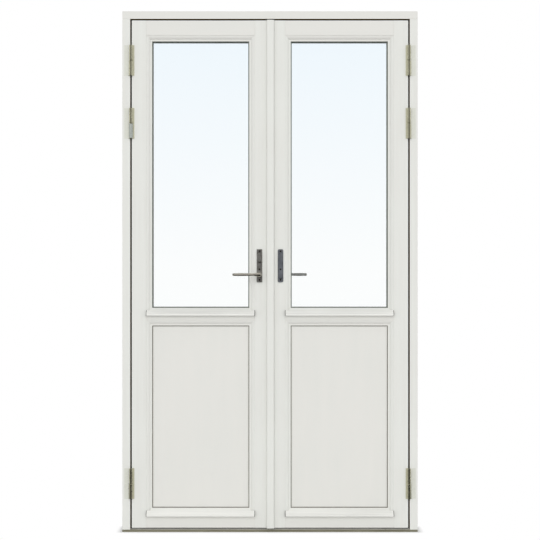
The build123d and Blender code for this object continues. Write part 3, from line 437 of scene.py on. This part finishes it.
class FittingSettings(bpy.types.PropertyGroup):
    """Sizes of the screws, caps and seals that repeat."""
    plate_head: length_setting("Plate screw head", "Radius of a plate screw's head", 3.8)
    plate_head_rise: length_setting("Plate screw rise", "Height of a plate screw's head", 1.6)
    plate_shank: length_setting("Plate screw shank", "Radius of a plate screw's shank", 1.75)
    flush_head: length_setting("Countersunk head", "Radius of a countersunk head", 4.0)
    flush_rise: length_setting("Countersunk rise", "How far a countersunk head stands proud", 0.4)
    flush_shank: length_setting("Countersunk shank", "Radius and length of the shank as drawn", 1.5)
    wing_screw_spacing: length_setting("Wing screws", "Spacing of the screws in a hinge wing", 40)
    faceplate_spacing: length_setting("Faceplate screws", "Spacing of the screws in a faceplate", 240)
    strip_spacing: length_setting("Strip screws", "Spacing of the screws in the threshold strip", 250)
    keep_screw_spacing: length_setting("Keep screws", "Spacing of the screws in a rod keep", 30)
    cap_thickness: length_setting("Cap thickness", "Thickness of a sill bar's end cap", 2)
    nose_height: length_setting("Nose height", "Height of a sill bar's nose", 7)
    sill_flat: length_setting("Sill flat", "Flat at the back of a sill bar's top", 3)
    jamb_plate_reach: length_setting("Plate reach", "From the leaf's edge to the plate on the jamb", 12)
    hinge_lip_reach: length_setting("Lip reach", "From the leaf's edge to the lip of a hinge", 3)
    hinge_pin_reach: length_setting("Pin reach", "From the leaf's edge to the middle of a hinge's pin", 3)
    # Half the width of the painted reflection drawn down a knuckle
    knuckle_dark_reflection: length_setting("Knuckle line", "Half the width of the dark line on a knuckle", 4.5)
    seal_inset: length_setting("Seal inset", "From the seal's outer edge to the middle of its bulb", 3)
    seal_bend: length_setting("Seal bend", "Radius of the seal where it turns a corner", 8)
    head_sides: IntProperty(
        name="Head sides", description="Sides of a screw head", default=20, min=8, subtype="UNSIGNED")


class StageSettings(bpy.types.PropertyGroup):
    """Camera, floor and light."""
    camera_distance: length_setting("Camera distance", "From the doors' face to the camera", 6000)
    camera_height: length_setting("Camera height", "Camera above the floor", 1046.2)
    lens: FloatProperty(name="Lens", description="Focal length", default=100.14, unit="CAMERA")
    floor_size: length_setting("Floor size", "Side of the floor", 3000)
    floor_fade: length_setting("Floor fade", "How far from the doors the floor turns to plain white", 30)
    floor_colour: colour_setting("Floor", "Pale floor", "F0F0F0")
    sky_top: colour_setting("Sky", "What shows through the top of the glass", "F2F9FF")
    dark_end: colour_setting("Dark end", "The unlit end of the studio, which metal reflects", "3A3A38")
    world_light: strength_setting("World light", "Light from all round", 0.71)
    key_light: strength_setting("Key light", "Strength of the soft key light", 1.02)
    key_rise: angle_setting("Key rise", "How far above the level the key light stands", 22)
    key_spread: angle_setting("Key spread", "How wide the key light looks from the doors", 40)


# Geometry Nodes

def node_group(name, sockets):
    """A Geometry Nodes tree with geometry in and out, named inputs, and their identifiers."""
    tree = bpy.data.node_groups.new(name, "GeometryNodeTree")
    tree.interface.new_socket("Geometry", in_out="OUTPUT", socket_type="NodeSocketGeometry")
    tree.interface.new_socket("Geometry", in_out="INPUT", socket_type="NodeSocketGeometry")
    keys = {}
    for label, kind in sockets.items():
        keys[label] = tree.interface.new_socket(label, in_out="INPUT", socket_type=kind).identifier
    return tree, keys, add_node(tree, "NodeGroupInput").outputs


def close_group(tree, geometry, material):
    """Ends a tree: instances are made real and take their material."""
    real = add_node(tree, "GeometryNodeRealizeInstances", {"Geometry": geometry})
    dressed = add_node(tree, "GeometryNodeSetMaterial", {
        "Geometry": real.outputs["Geometry"], "Material": material})
    add_node(tree, "NodeGroupOutput", {"Geometry": dressed.outputs["Geometry"]})


def screw_tree():
    """Cross-head screws at points that say which way they face."""
    tree, keys, given = node_group("Cross-head screws", {
        "Head radius": "NodeSocketFloat",
        "Head rise": "NodeSocketFloat",
        "Shank radius": "NodeSocketFloat",
        "Shank length": "NodeSocketFloat",
        "Sides": "NodeSocketInt",
        "Material": "NodeSocketMaterial",
    })
    ball = add_node(tree, "GeometryNodeMeshUVSphere", {
        "Segments": given["Sides"], "Rings": HEAD_RINGS, "Radius": 1.0})
    squash = add_node(tree, "ShaderNodeCombineXYZ", {
        "X": given["Head radius"], "Y": given["Head radius"], "Z": given["Head rise"]})
    head = add_node(tree, "GeometryNodeTransform", {
        "Geometry": ball.outputs["Mesh"], "Scale": squash.outputs["Vector"]})
    long = add_node(tree, "ShaderNodeMath", {
        0: given["Head radius"], 1: SLOT_LENGTH}, operation="MULTIPLY").outputs["Value"]
    wide = add_node(tree, "ShaderNodeMath", {
        0: given["Head radius"], 1: SLOT_WIDTH}, operation="MULTIPLY").outputs["Value"]
    top = add_node(tree, "ShaderNodeCombineXYZ", {"Z": given["Head rise"]})
    slots = []
    for across, along in ((long, wide), (wide, long)):
        size = add_node(tree, "ShaderNodeCombineXYZ", {"X": across, "Y": along, "Z": given["Head rise"]})
        bar = add_node(tree, "GeometryNodeMeshCube", {"Size": size.outputs["Vector"]})
        raised = add_node(tree, "GeometryNodeTransform", {
            "Geometry": bar.outputs["Mesh"], "Translation": top.outputs["Vector"]})
        slots.append(raised.outputs["Geometry"])
    cut = add_node(tree, "GeometryNodeMeshBoolean", {
        "Mesh 1": head.outputs["Geometry"], "Mesh 2": slots}, operation="DIFFERENCE")
    shank = add_node(tree, "GeometryNodeMeshCylinder", {
        "Vertices": given["Sides"], "Radius": given["Shank radius"], "Depth": given["Shank length"]})
    half = add_node(tree, "ShaderNodeMath", {0: given["Shank length"], 1: -0.5}, operation="MULTIPLY")
    down = add_node(tree, "ShaderNodeCombineXYZ", {"Z": half.outputs["Value"]})
    shank = add_node(tree, "GeometryNodeTransform", {
        "Geometry": shank.outputs["Mesh"], "Translation": down.outputs["Vector"]})
    screw = add_node(tree, "GeometryNodeJoinGeometry", {
        "Geometry": [cut.outputs["Mesh"], shank.outputs["Geometry"]]})
    facing = add_node(tree, "GeometryNodeInputNamedAttribute", {
        "Name": "facing"}, data_type="FLOAT_VECTOR")
    aim = add_node(tree, "FunctionNodeAlignRotationToVector", {
        "Vector": facing.outputs["Attribute"]}, axis="Z")
    turn = add_node(tree, "FunctionNodeRandomValue", {
        "Min": (0, 0, 0), "Max": (0, 0, math.pi / 2), "Seed": SCREW_SEED}, data_type="FLOAT_VECTOR")
    spin = add_node(tree, "FunctionNodeRotateRotation", {
        "Rotation": aim.outputs["Rotation"], "Rotate By": turn.outputs["Value"]}, rotation_space="LOCAL")
    placed = add_node(tree, "GeometryNodeInstanceOnPoints", {
        "Points": given["Geometry"], "Instance": screw.outputs["Geometry"],
        "Rotation": spin.outputs["Rotation"]})
    close_group(tree, placed.outputs["Instances"], given["Material"])
    return tree, keys


def seal_tree():
    """A bulb seal that follows a closed path, bent round its corners."""
    tree, keys, given = node_group("Bulb seal", {
        "Bulb radius": "NodeSocketFloat",
        "Bend radius": "NodeSocketFloat",
        "Material": "NodeSocketMaterial",
    })
    path = add_node(tree, "GeometryNodeMeshToCurve", {"Mesh": given["Geometry"]})
    bent = add_node(tree, "GeometryNodeFilletCurve", {
        "Curve": path.outputs["Curve"], "Radius": given["Bend radius"]})
    bulb = add_node(tree, "GeometryNodeCurvePrimitiveCircle", {
        "Resolution": BULB_SIDES, "Radius": given["Bulb radius"]})
    swept = add_node(tree, "GeometryNodeCurveToMesh", {
        "Curve": bent.outputs["Curve"], "Profile Curve": bulb.outputs["Curve"]})
    close_group(tree, swept.outputs["Mesh"], given["Material"])
    return tree, keys


def grown_piece(name, mesh, tree, keys, values):
    """A piece grown from a mesh by a Geometry Nodes tree, kept as a plain mesh at the origin."""
    piece = bpy.data.objects.new(name, mesh)
    bpy.context.scene.collection.objects.link(piece)
    modifier = piece.modifiers.new(name, "NODES")
    modifier.node_group = tree
    for label, value in values.items():
        modifier[keys[label]] = value
    graph = bpy.context.evaluated_depsgraph_get()
    grown = bpy.data.meshes.new_from_object(piece.evaluated_get(graph))
    piece.modifiers.clear()
    piece.data = grown
    if not grown.polygons:
        raise RuntimeError(f"{name} came out empty")
    return piece


def point_mesh(name, places):
    """Points with the direction that each one faces; places are (point, facing) pairs."""
    mesh = bpy.data.meshes.new(name)
    mesh.from_pydata([point for point, facing in places], [], [])
    facings = mesh.attributes.new("facing", "FLOAT_VECTOR", "POINT")
    for entry, (point, facing) in zip(facings.data, places):
        entry.vector = facing
    return mesh


def solids_of(node):
    """The lowest and highest corner of each separate solid of a CAD node."""
    work = bmesh.new()
    work.from_mesh(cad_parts[node].data)
    bmesh.ops.remove_doubles(work, verts=work.verts, dist=WELD)
    unseen = set(work.verts)
    boxes = []
    while unseen:
        group = [unseen.pop()]
        for vertex in group:
            fresh = [edge.other_vert(vertex) for edge in vertex.link_edges]
            fresh = [other for other in fresh if other in unseen]
            unseen.difference_update(fresh)
            group.extend(fresh)
        low = Vector([min(vertex.co[n] for vertex in group) for n in range(3)])
        high = Vector([max(vertex.co[n] for vertex in group) for n in range(3)])
        boxes.append((low, high))
    work.free()
    return sorted(boxes, key=lambda box: tuple(box[0]))


def spaced(low, high, spacing):
    """Places along a length, as near to a spacing as fits, with half a space left at each end."""
    count = max(1, round((high - low) / spacing))
    return [low + (high - low) * (n + 0.5) / count for n in range(count)]


# Operators

class DOORS_OT_paint(bpy.types.Operator):
    """Paints the frame and the leaves."""
    bl_idname = "doors.paint"
    bl_label = "Paint the woodwork"

    def execute(self, context):
        finish = context.scene.doors_finish
        shade = finish.paint_shade
        upright_grain, level_grain, board_grain = (9, 9, 320), (320, 9, 9), (40, 40, 400)
        jamb = sprayed_pine("sprayed_pine_jamb", finish.upright_paint, shade, upright_grain, finish.gap_painted_shade)
        head = sprayed_pine("sprayed_pine_head", finish.level_paint, shade, level_grain, finish.gap_painted_shade)
        upright = sprayed_pine("sprayed_pine_upright", finish.upright_paint, shade, upright_grain)
        level = sprayed_pine("sprayed_pine_level", finish.level_paint, shade, level_grain)
        # The sill bars' lighter paint is painted light on their sloping tops
        sill = sprayed_pine("sprayed_pine_sill_lit", finish.sill_paint_lit, shade, level_grain)
        board = sprayed_pine("sprayed_pine_panel", finish.panel_paint, shade, board_grain)
        finish_nodes(jamb, "left_jamb", "right_jamb")
        finish_nodes(head, "head")
        finish_nodes(upright, "active_cover_strip", *on_leaves("hinge_stile", "meeting_stile"))
        finish_nodes(level, *on_leaves("top_rail", "mid_rail", "bottom_rail"))
        finish_nodes(sill, *on_leaves("sill_bars"))
        finish_nodes(level, *on_leaves("glass_beads", "panel_beads"))
        finish_nodes(board, *on_leaves("panel"))
        return {"FINISHED"}


class DOORS_OT_threshold(bpy.types.Operator):
    """Finishes the threshold and its strip."""
    bl_idname = "doors.threshold"
    bl_label = "Finish the threshold"

    def execute(self, context):
        finish = context.scene.doors_finish
        finish_nodes(oiled_oak("oiled_oak", finish.oak, finish.oak_shade), "threshold")
        strip = anodised_strip("matt_anodised_aluminium", finish)
        finish_nodes(strip, "threshold_strip")
        return {"FINISHED"}


class DOORS_OT_glazing(bpy.types.Operator):
    """Finishes the glass units, their spacers and the gaskets."""
    bl_idname = "doors.glazing"
    bl_label = "Glaze the leaves"

    def execute(self, context):
        finish = context.scene.doors_finish
        finish_nodes(float_glass("float_glass", finish.glass), *on_leaves("glass_panes"))
        spacer = drawn_metal(
            "rolled_aluminium", finish.spacer, finish.spacer_shade, grain_mm=(60, 60, 60), roughness=0.5)
        finish_nodes(spacer, *on_leaves("glass_spacer"))
        epdm = {"mottle_mm": 12, "roughness": 0.7, "index": 1.52}
        dark = moulded_polymer("extruded_epdm", finish.rubber, finish.rubber_shade, **epdm)
        finish_nodes(dark, *on_leaves("glass_gaskets"))
        grey = moulded_polymer(
            "extruded_grey_epdm", finish.panel_rubber, finish.panel_rubber_shade, **epdm)
        finish_nodes(grey, *on_leaves("panel_gaskets"))
        return {"FINISHED"}


class DOORS_OT_sill_caps(bpy.types.Operator):
    """Closes the ends of the sill bars with moulded caps."""
    bl_idname = "doors.sill_caps"
    bl_label = "Cap the sill bars"

    def execute(self, context):
        finish = context.scene.doors_finish
        sizes = context.scene.doors_fittings
        plastic = moulded_polymer(
            "moulded_acetal", finish.cap, finish.cap_shade, mottle_mm=5, roughness=0.5, index=1.48)
        for leaf in LEAVES:
            work = bmesh.new()
            for low, high in solids_of(f"{leaf}_sill_bars"):
                for start in (low.x, high.x - sizes.cap_thickness):
                    self.add_cap(work, low, high, start, sizes)
            bmesh.ops.recalc_face_normals(work, faces=work.faces)
            mesh = bpy.data.meshes.new(f"{leaf}_sill_caps")
            work.to_mesh(mesh)
            work.free()
            mesh.materials.append(plastic)
            piece = bpy.data.objects.new(f"{leaf}_sill_caps", mesh)
            context.scene.collection.objects.link(piece)
            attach(piece, f"{leaf}_leaf")
        return {"FINISHED"}

    def add_cap(self, work, low, high, start, sizes):
        """One cap with the outline of the bar's nose, from the leaf's face outwards."""
        slope_back = high.y - sizes.sill_flat
        slope_front = low.z + sizes.nose_height
        share = (FACE_Y - low.y) / (slope_back - low.y)
        top = slope_front + (high.z - slope_front) * share
        outline = ((FACE_Y, low.z), (low.y, low.z), (low.y, slope_front), (FACE_Y, top))
        corners = [work.verts.new((start, y, z)) for y, z in outline]
        face = work.faces.new(corners)
        grown = bmesh.ops.extrude_face_region(work, geom=[face])["geom"]
        moved = [entry for entry in grown if isinstance(entry, bmesh.types.BMVert)]
        bmesh.ops.translate(work, verts=moved, vec=(sizes.cap_thickness, 0, 0))


class DOORS_OT_seal(bpy.types.Operator):
    """Grows the bulb seal that stands in for the plain one on the stops."""
    bl_idname = "doors.seal"
    bl_label = "Fit the frame seal"

    def execute(self, context):
        finish = context.scene.doors_finish
        sizes = context.scene.doors_fittings
        low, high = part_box("frame_seal")
        middle = (low.y + high.y) / 2
        left, right = low.x + sizes.seal_inset, high.x - sizes.seal_inset
        bottom, top = low.z + sizes.seal_inset, high.z - sizes.seal_inset
        outline = ((left, bottom), (right, bottom), (right, top), (left, top))
        corners = [(x, middle, z) for x, z in outline]
        mesh = bpy.data.meshes.new("seal_path")
        mesh.from_pydata(corners, [(0, 1), (1, 2), (2, 3), (3, 0)], [])
        rubber = moulded_polymer(
            "extruded_tpe", finish.seal, finish.seal_shade, mottle_mm=12, roughness=0.7, index=1.5)
        tree, keys = seal_tree()
        piece = grown_piece("bulb_seal", mesh, tree, keys, {
            "Bulb radius": (high.y - low.y) / 2, "Bend radius": sizes.seal_bend, "Material": rubber})
        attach(piece, "frame")
        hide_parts("frame_seal")
        return {"FINISHED"}


class DOORS_OT_hinges(bpy.types.Operator):
    """Finishes the hinges and the sleeve over one of them."""
    bl_idname = "doors.hinges"
    bl_label = "Finish the hinges"

    def execute(self, context):
        finish = context.scene.doors_finish
        zinc = passivated_zinc("passivated_zinc", finish, context.scene.doors_fittings)
        finish_nodes(zinc, "hinge_frame_halves", *on_leaves("hinge_halves"))
        nylon = moulded_polymer(
            "moulded_nylon", finish.nylon, finish.nylon_shade, mottle_mm=4, roughness=0.42, index=1.53)
        finish_nodes(nylon, "hinge_sleeve")
        return {"FINISHED"}


class DOORS_OT_locks(bpy.types.Operator):
    """Finishes the espagnolettes and their keeps."""
    bl_idname = "doors.locks"
    bl_label = "Finish the locks"

    def execute(self, context):
        finish = context.scene.doors_finish
        steel = drawn_metal(
            "bright_zinc_steel", finish.lock, finish.lock_shade, grain_mm=(5, 5, 90), roughness=0.34)
        names = ("faceplate", "gear_case", "drive_gear", "top_rod", "bottom_rod", "spindle")
        finish_nodes(steel, "rod_keeps", *on_leaves(*names))
        return {"FINISHED"}


class DOORS_OT_handles(bpy.types.Operator):
    """Finishes the handle plates and the levers."""
    bl_idname = "doors.handles"
    bl_label = "Finish the handles"

    def execute(self, context):
        finish = context.scene.doors_finish
        cast = {"grain_mm": (14, 14, 30), "roughness": 0.36}
        pewter = drawn_metal("dark_pewter", finish.plate, finish.plate_shade, **cast)
        finish_nodes(pewter, "active_outside_plate", *on_leaves("inside_plate"))
        blued = drawn_metal("blued_pewter", finish.blind_plate, finish.blind_plate_shade, **cast)
        finish_nodes(blued, "passive_outside_plate")
        brushed = (60, 4, 4)
        nickel = drawn_metal(
            "brushed_nickel", finish.nickel, finish.nickel_shade, grain_mm=brushed, roughness=0.14)
        finish_nodes(nickel, "active_outside_lever")
        # The room-side levers get a dark olive metal, far darker than the outside lever
        room_lever = drawn_metal(
            "dark_room_lever_nickel", finish.room_lever, finish.room_lever_shade, grain_mm=brushed, roughness=0.3)
        finish_nodes(room_lever, *on_leaves("inside_lever"))
        return {"FINISHED"}


class DOORS_OT_screws(bpy.types.Operator):
    """Drives the cross-head screws of the plates, hinges, faceplates, keeps and threshold strip."""
    bl_idname = "doors.screws"
    bl_label = "Drive the screws"

    def execute(self, context):
        finish = context.scene.doors_finish
        sizes = context.scene.doors_fittings
        rolled = {"grain_mm": (3, 3, 3), "roughness": 0.3}
        steel = drawn_metal("screw_steel", finish.screw, finish.screw_shade, **rolled)
        browned = drawn_metal("browned_steel", finish.plate_screw, finish.plate_screw_shade, **rolled)
        self.tree, self.keys = screw_tree()
        self.sides = sizes.head_sides
        flush = {
            "Head radius": sizes.flush_head, "Head rise": sizes.flush_rise,
            "Shank radius": sizes.flush_shank, "Shank length": sizes.flush_shank, "Material": steel,
        }
        self.drive("frame_screws", "frame", self.frame_places(sizes), flush)
        for leaf in LEAVES:
            self.drive(f"{leaf}_leaf_screws", f"{leaf}_leaf", self.leaf_places(leaf, sizes), flush)
            places, shank_length = self.plate_places(leaf, sizes)
            heads = self.drive(f"{leaf}_plate_screw_heads", f"{leaf}_leaf", places, {
                "Head radius": sizes.plate_head, "Head rise": sizes.plate_head_rise,
                "Shank radius": sizes.plate_shank, "Shank length": shank_length, "Material": browned})
            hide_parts(f"{leaf}_plate_screws")
        return {"FINISHED"}

    def drive(self, name, body, places, values):
        """A piece with one screw at each place, riding on a body."""
        values = {**values, "Sides": self.sides}
        piece = grown_piece(name, point_mesh(name, places), self.tree, self.keys, values)
        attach(piece, body)
        return piece

    def plate_places(self, leaf, sizes):
        """Where the plate screws sit, both sides of a leaf, and how long their shanks are."""
        places = []
        for low, high in solids_of(f"{leaf}_plate_screws"):
            outside = low.y < FACE_Y
            way = Vector((0, -1 if outside else 1, 0))
            end_y = low.y if outside else high.y
            middle = (low + high) / 2
            places.append((Vector((middle.x, end_y - way.y * sizes.plate_head_rise, middle.z)), way))
            shank_length = high.y - low.y - sizes.plate_head_rise
        return places, shank_length

    def frame_places(self, sizes):
        """Screws on the threshold strip and in the keeps of the head."""
        low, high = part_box("threshold_strip")
        middle = (low + high) / 2
        upwards, downwards = Vector((0, 0, 1)), Vector((0, 0, -1))
        along = spaced(low.x, high.x, sizes.strip_spacing)
        places = [(Vector((x, middle.y, high.z)), upwards) for x in along]
        for low, high in solids_of("rod_keeps"):
            middle = (low + high) / 2
            if low.z > FRAME_CORNER.z / 2:
                for share in (-0.5, 0.5):
                    y = middle.y + share * sizes.keep_screw_spacing
                    places.append((Vector((middle.x, y, low.z)), downwards))
        return places

    def leaf_places(self, leaf, sizes):
        """Screws in the hinge wings and in the faceplate of one leaf."""
        outwards = Vector((-1 if leaf == "active" else 1, 0, 0))
        places = []
        edge = outwards.x * LEAF_EDGE
        for low, high in solids_of(f"{leaf}_hinge_halves"):
            y = (FACE_Y + high.y) / 2
            for z in spaced(low.z, high.z, sizes.wing_screw_spacing):
                places.append((Vector((edge, y, z)), outwards))
        low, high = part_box(f"{leaf}_faceplate")
        inner = high.x if leaf == "active" else low.x
        y = (low.y + high.y) / 2
        for z in spaced(low.z, high.z, sizes.faceplate_spacing):
            places.append((Vector((inner, y, z)), -outwards))
        return places


class DOORS_OT_stage(bpy.types.Operator):
    """Sets up the floor, the light and the camera."""
    bl_idname = "doors.stage"
    bl_label = "Set the stage"

    def execute(self, context):
        stage = context.scene.doors_stage
        self.lay_floor(context, stage)
        self.wrap_world(context, stage)
        self.hang_key(context, stage)
        self.place_camera(context, stage)
        context.scene.view_settings.view_transform = "Standard"
        return {"FINISHED"}

    def lay_floor(self, context, stage):
        """A pale floor that takes the doors' shadow and turns to plain white further out."""
        half = stage.floor_size / 2
        corners = [(-half, -half, 0), (half, -half, 0), (half, half, 0), (-half, half, 0)]
        mesh = bpy.data.meshes.new("floor")
        mesh.from_pydata(corners, [], [(0, 1, 2, 3)])
        floor = bpy.data.objects.new("floor", mesh)
        context.scene.collection.objects.link(floor)
        material, tree, place = blank_material("matt_white_floor")
        out = add_node(tree, "ShaderNodeVectorMath", {0: place}, operation="ABSOLUTE")
        past = add_node(tree, "ShaderNodeVectorMath", {
            0: out.outputs["Vector"], 1: (FRAME_CORNER.x, FRAME_CORNER.y, 0)}, operation="SUBTRACT")
        past = add_node(tree, "ShaderNodeVectorMath", {0: past.outputs["Vector"]}, operation="MAXIMUM")
        reach = add_node(tree, "ShaderNodeVectorMath", {0: past.outputs["Vector"]}, operation="LENGTH")
        fade = add_node(tree, "ShaderNodeMapRange", {
            "Value": reach.outputs["Value"], "From Max": stage.floor_fade,
        }, interpolation_type="SMOOTHSTEP")
        path = add_node(tree, "ShaderNodeLightPath").outputs
        seen = add_node(tree, "ShaderNodeMath", {
            0: path["Is Camera Ray"], 1: path["Is Transmission Ray"]}, operation="MAXIMUM")
        share = add_node(tree, "ShaderNodeMath", {
            0: fade.outputs["Result"], 1: seen.outputs["Value"]}, operation="MULTIPLY")
        # Metal mirrors a dark floor, so that levers get dark undersides; rays through glass, which
        # also count as glossy, are taken off
        mirrored = add_node(tree, "ShaderNodeMath", {
            0: path["Is Glossy Ray"], 1: path["Is Transmission Ray"],
        }, operation="SUBTRACT", use_clamp=True)
        tone = add_node(tree, "ShaderNodeMix", {
            0: mirrored.outputs["Value"], 6: stage.floor_colour, 7: stage.dark_end}, data_type="RGBA")
        matt = add_node(tree, "ShaderNodeBsdfDiffuse", {"Color": tone.outputs[2]})
        white = add_node(tree, "ShaderNodeEmission", {"Color": WHITE, "Strength": 1.0})
        mix = add_node(tree, "ShaderNodeMixShader", {
            0: share.outputs["Value"], 1: matt.outputs["BSDF"], 2: white.outputs["Emission"]})
        add_node(tree, "ShaderNodeOutputMaterial", {"Surface": mix.outputs["Shader"]})
        mesh.materials.append(material)

    def wrap_world(self, context, stage):
        """Even light all round, a white backdrop, a hint of sky in the glass, and a dark studio end."""
        world = bpy.data.worlds.new("studio")
        world.use_nodes = True
        tree = world.node_tree
        tree.nodes.clear()
        path = add_node(tree, "ShaderNodeLightPath").outputs
        seen = add_node(tree, "ShaderNodeMath", {
            0: path["Is Camera Ray"], 1: path["Is Glossy Ray"]}, operation="MAXIMUM")
        seen = add_node(tree, "ShaderNodeMath", {
            0: seen.outputs["Value"], 1: path["Is Transmission Ray"]}, operation="MAXIMUM")
        direction = add_node(tree, "ShaderNodeTexCoord").outputs["Generated"]
        way = add_node(tree, "ShaderNodeSeparateXYZ", {"Vector": direction}).outputs
        height = add_node(tree, "ShaderNodeMapRange", {"Value": way["Z"], "From Max": SKY_RISE})
        tinted = add_node(tree, "ShaderNodeMath", {
            0: height.outputs["Result"], 1: path["Is Transmission Ray"]}, operation="MULTIPLY")
        backdrop = add_node(tree, "ShaderNodeMix", {
            0: tinted.outputs["Value"], 6: WHITE, 7: stage.sky_top}, data_type="RGBA")
        # The unlit end lies behind the camera, to both sides and below; only metal and gloss see it
        aside = add_node(tree, "ShaderNodeMath", {0: way["X"]}, operation="ABSOLUTE")
        near = add_node(tree, "ShaderNodeMapRange", {
            "Value": aside.outputs["Value"], "From Min": FLANK_START[0], "From Max": FLANK_START[1]})
        far = add_node(tree, "ShaderNodeMapRange", {
            "Value": aside.outputs["Value"], "From Min": FLANK_END[0], "From Max": FLANK_END[1],
            "To Min": 1.0, "To Max": 0.0})
        flank = add_node(tree, "ShaderNodeMath", {
            0: near.outputs["Result"], 1: far.outputs["Result"]}, operation="MULTIPLY")
        under = add_node(tree, "ShaderNodeMapRange", {
            "Value": way["Z"], "From Min": UNDER[0], "From Max": UNDER[1]})
        either = add_node(tree, "ShaderNodeMath", {
            0: flank.outputs["Value"], 1: under.outputs["Result"]}, operation="MAXIMUM")
        behind = add_node(tree, "ShaderNodeMapRange", {
            "Value": way["Y"], "From Min": BEHIND[0], "From Max": BEHIND[1]})
        dark = add_node(tree, "ShaderNodeMath", {
            0: either.outputs["Value"], 1: behind.outputs["Result"]}, operation="MULTIPLY")
        mirrored = add_node(tree, "ShaderNodeMath", {
            0: path["Is Glossy Ray"], 1: path["Is Transmission Ray"],
        }, operation="SUBTRACT", use_clamp=True)
        dark = add_node(tree, "ShaderNodeMath", {
            0: dark.outputs["Value"], 1: mirrored.outputs["Value"]}, operation="MULTIPLY")
        scenery = add_node(tree, "ShaderNodeMix", {
            0: dark.outputs["Value"], 6: backdrop.outputs[2], 7: stage.dark_end}, data_type="RGBA")
        light = add_node(tree, "ShaderNodeBackground", {"Color": WHITE, "Strength": stage.world_light})
        white = add_node(tree, "ShaderNodeBackground", {"Color": scenery.outputs[2], "Strength": 1.0})
        mix = add_node(tree, "ShaderNodeMixShader", {
            0: seen.outputs["Value"], 1: light.outputs["Background"], 2: white.outputs["Background"]})
        add_node(tree, "ShaderNodeOutputWorld", {"Surface": mix.outputs["Shader"]})
        context.scene.world = world

    def hang_key(self, context, stage):
        """A wide, even key light from the front and above, with no image of itself on metal and glass."""
        light = bpy.data.lights.new("key", "SUN")
        light.energy = stage.key_light
        light.angle = stage.key_spread
        lamp = bpy.data.objects.new("key", light)
        context.scene.collection.objects.link(lamp)
        lamp.visible_glossy = False
        lamp.visible_transmission = False
        lamp.location = (0, FACE_Y - stage.camera_distance, FRAME_CORNER.z)
        lamp.rotation_euler = (math.pi / 2 - stage.key_rise, 0, 0)

    def place_camera(self, context, stage):
        """Straight on from outside, level, at the photograph's distance."""
        lens = bpy.data.cameras.new("camera")
        lens.lens = stage.lens
        camera = bpy.data.objects.new("camera", lens)
        context.scene.collection.objects.link(camera)
        camera.location = (0, FACE_Y - stage.camera_distance, stage.camera_height)
        camera.rotation_euler = (math.pi / 2, 0, 0)
        context.scene.camera = camera


class DOORS_PT_sidebar(bpy.types.Panel):
    """Lists the steps that dress the doors, and their settings."""
    bl_label = "French doors"
    bl_idname = "DOORS_PT_sidebar"
    bl_space_type = "VIEW_3D"
    bl_region_type = "UI"
    bl_category = "Doors"

    def draw(self, context):
        for step in STEPS:
            self.layout.operator(step.bl_idname)
        for name in SETTINGS:
            group = getattr(context.scene, name)
            box = self.layout.box()
            for setting in group.__annotations__:
                box.prop(group, setting)


SETTINGS = {
    "doors_finish": FinishSettings,
    "doors_fittings": FittingSettings,
    "doors_stage": StageSettings,
}
STEPS = (
    DOORS_OT_paint,
    DOORS_OT_threshold,
    DOORS_OT_glazing,
    DOORS_OT_sill_caps,
    DOORS_OT_seal,
    DOORS_OT_hinges,
    DOORS_OT_locks,
    DOORS_OT_handles,
    DOORS_OT_screws,
    DOORS_OT_stage,
)


def register():
    for name, group in SETTINGS.items():
        bpy.utils.register_class(group)
        setattr(bpy.types.Scene, name, PointerProperty(type=group))
    for step in (*STEPS, DOORS_PT_sidebar):
        bpy.utils.register_class(step)


def unregister():
    for step in (DOORS_PT_sidebar, *reversed(STEPS)):
        bpy.utils.unregister_class(step)
    for name, group in SETTINGS.items():
        delattr(bpy.types.Scene, name)
        bpy.utils.unregister_class(group)


def main():
    register()
    bpy.ops.doors.paint()
    bpy.ops.doors.threshold()
    bpy.ops.doors.glazing()
    bpy.ops.doors.sill_caps()
    bpy.ops.doors.seal()
    bpy.ops.doors.hinges()
    bpy.ops.doors.locks()
    bpy.ops.doors.handles()
    bpy.ops.doors.screws()
    bpy.ops.doors.stage()


if __name__ == "__main__":
    main()
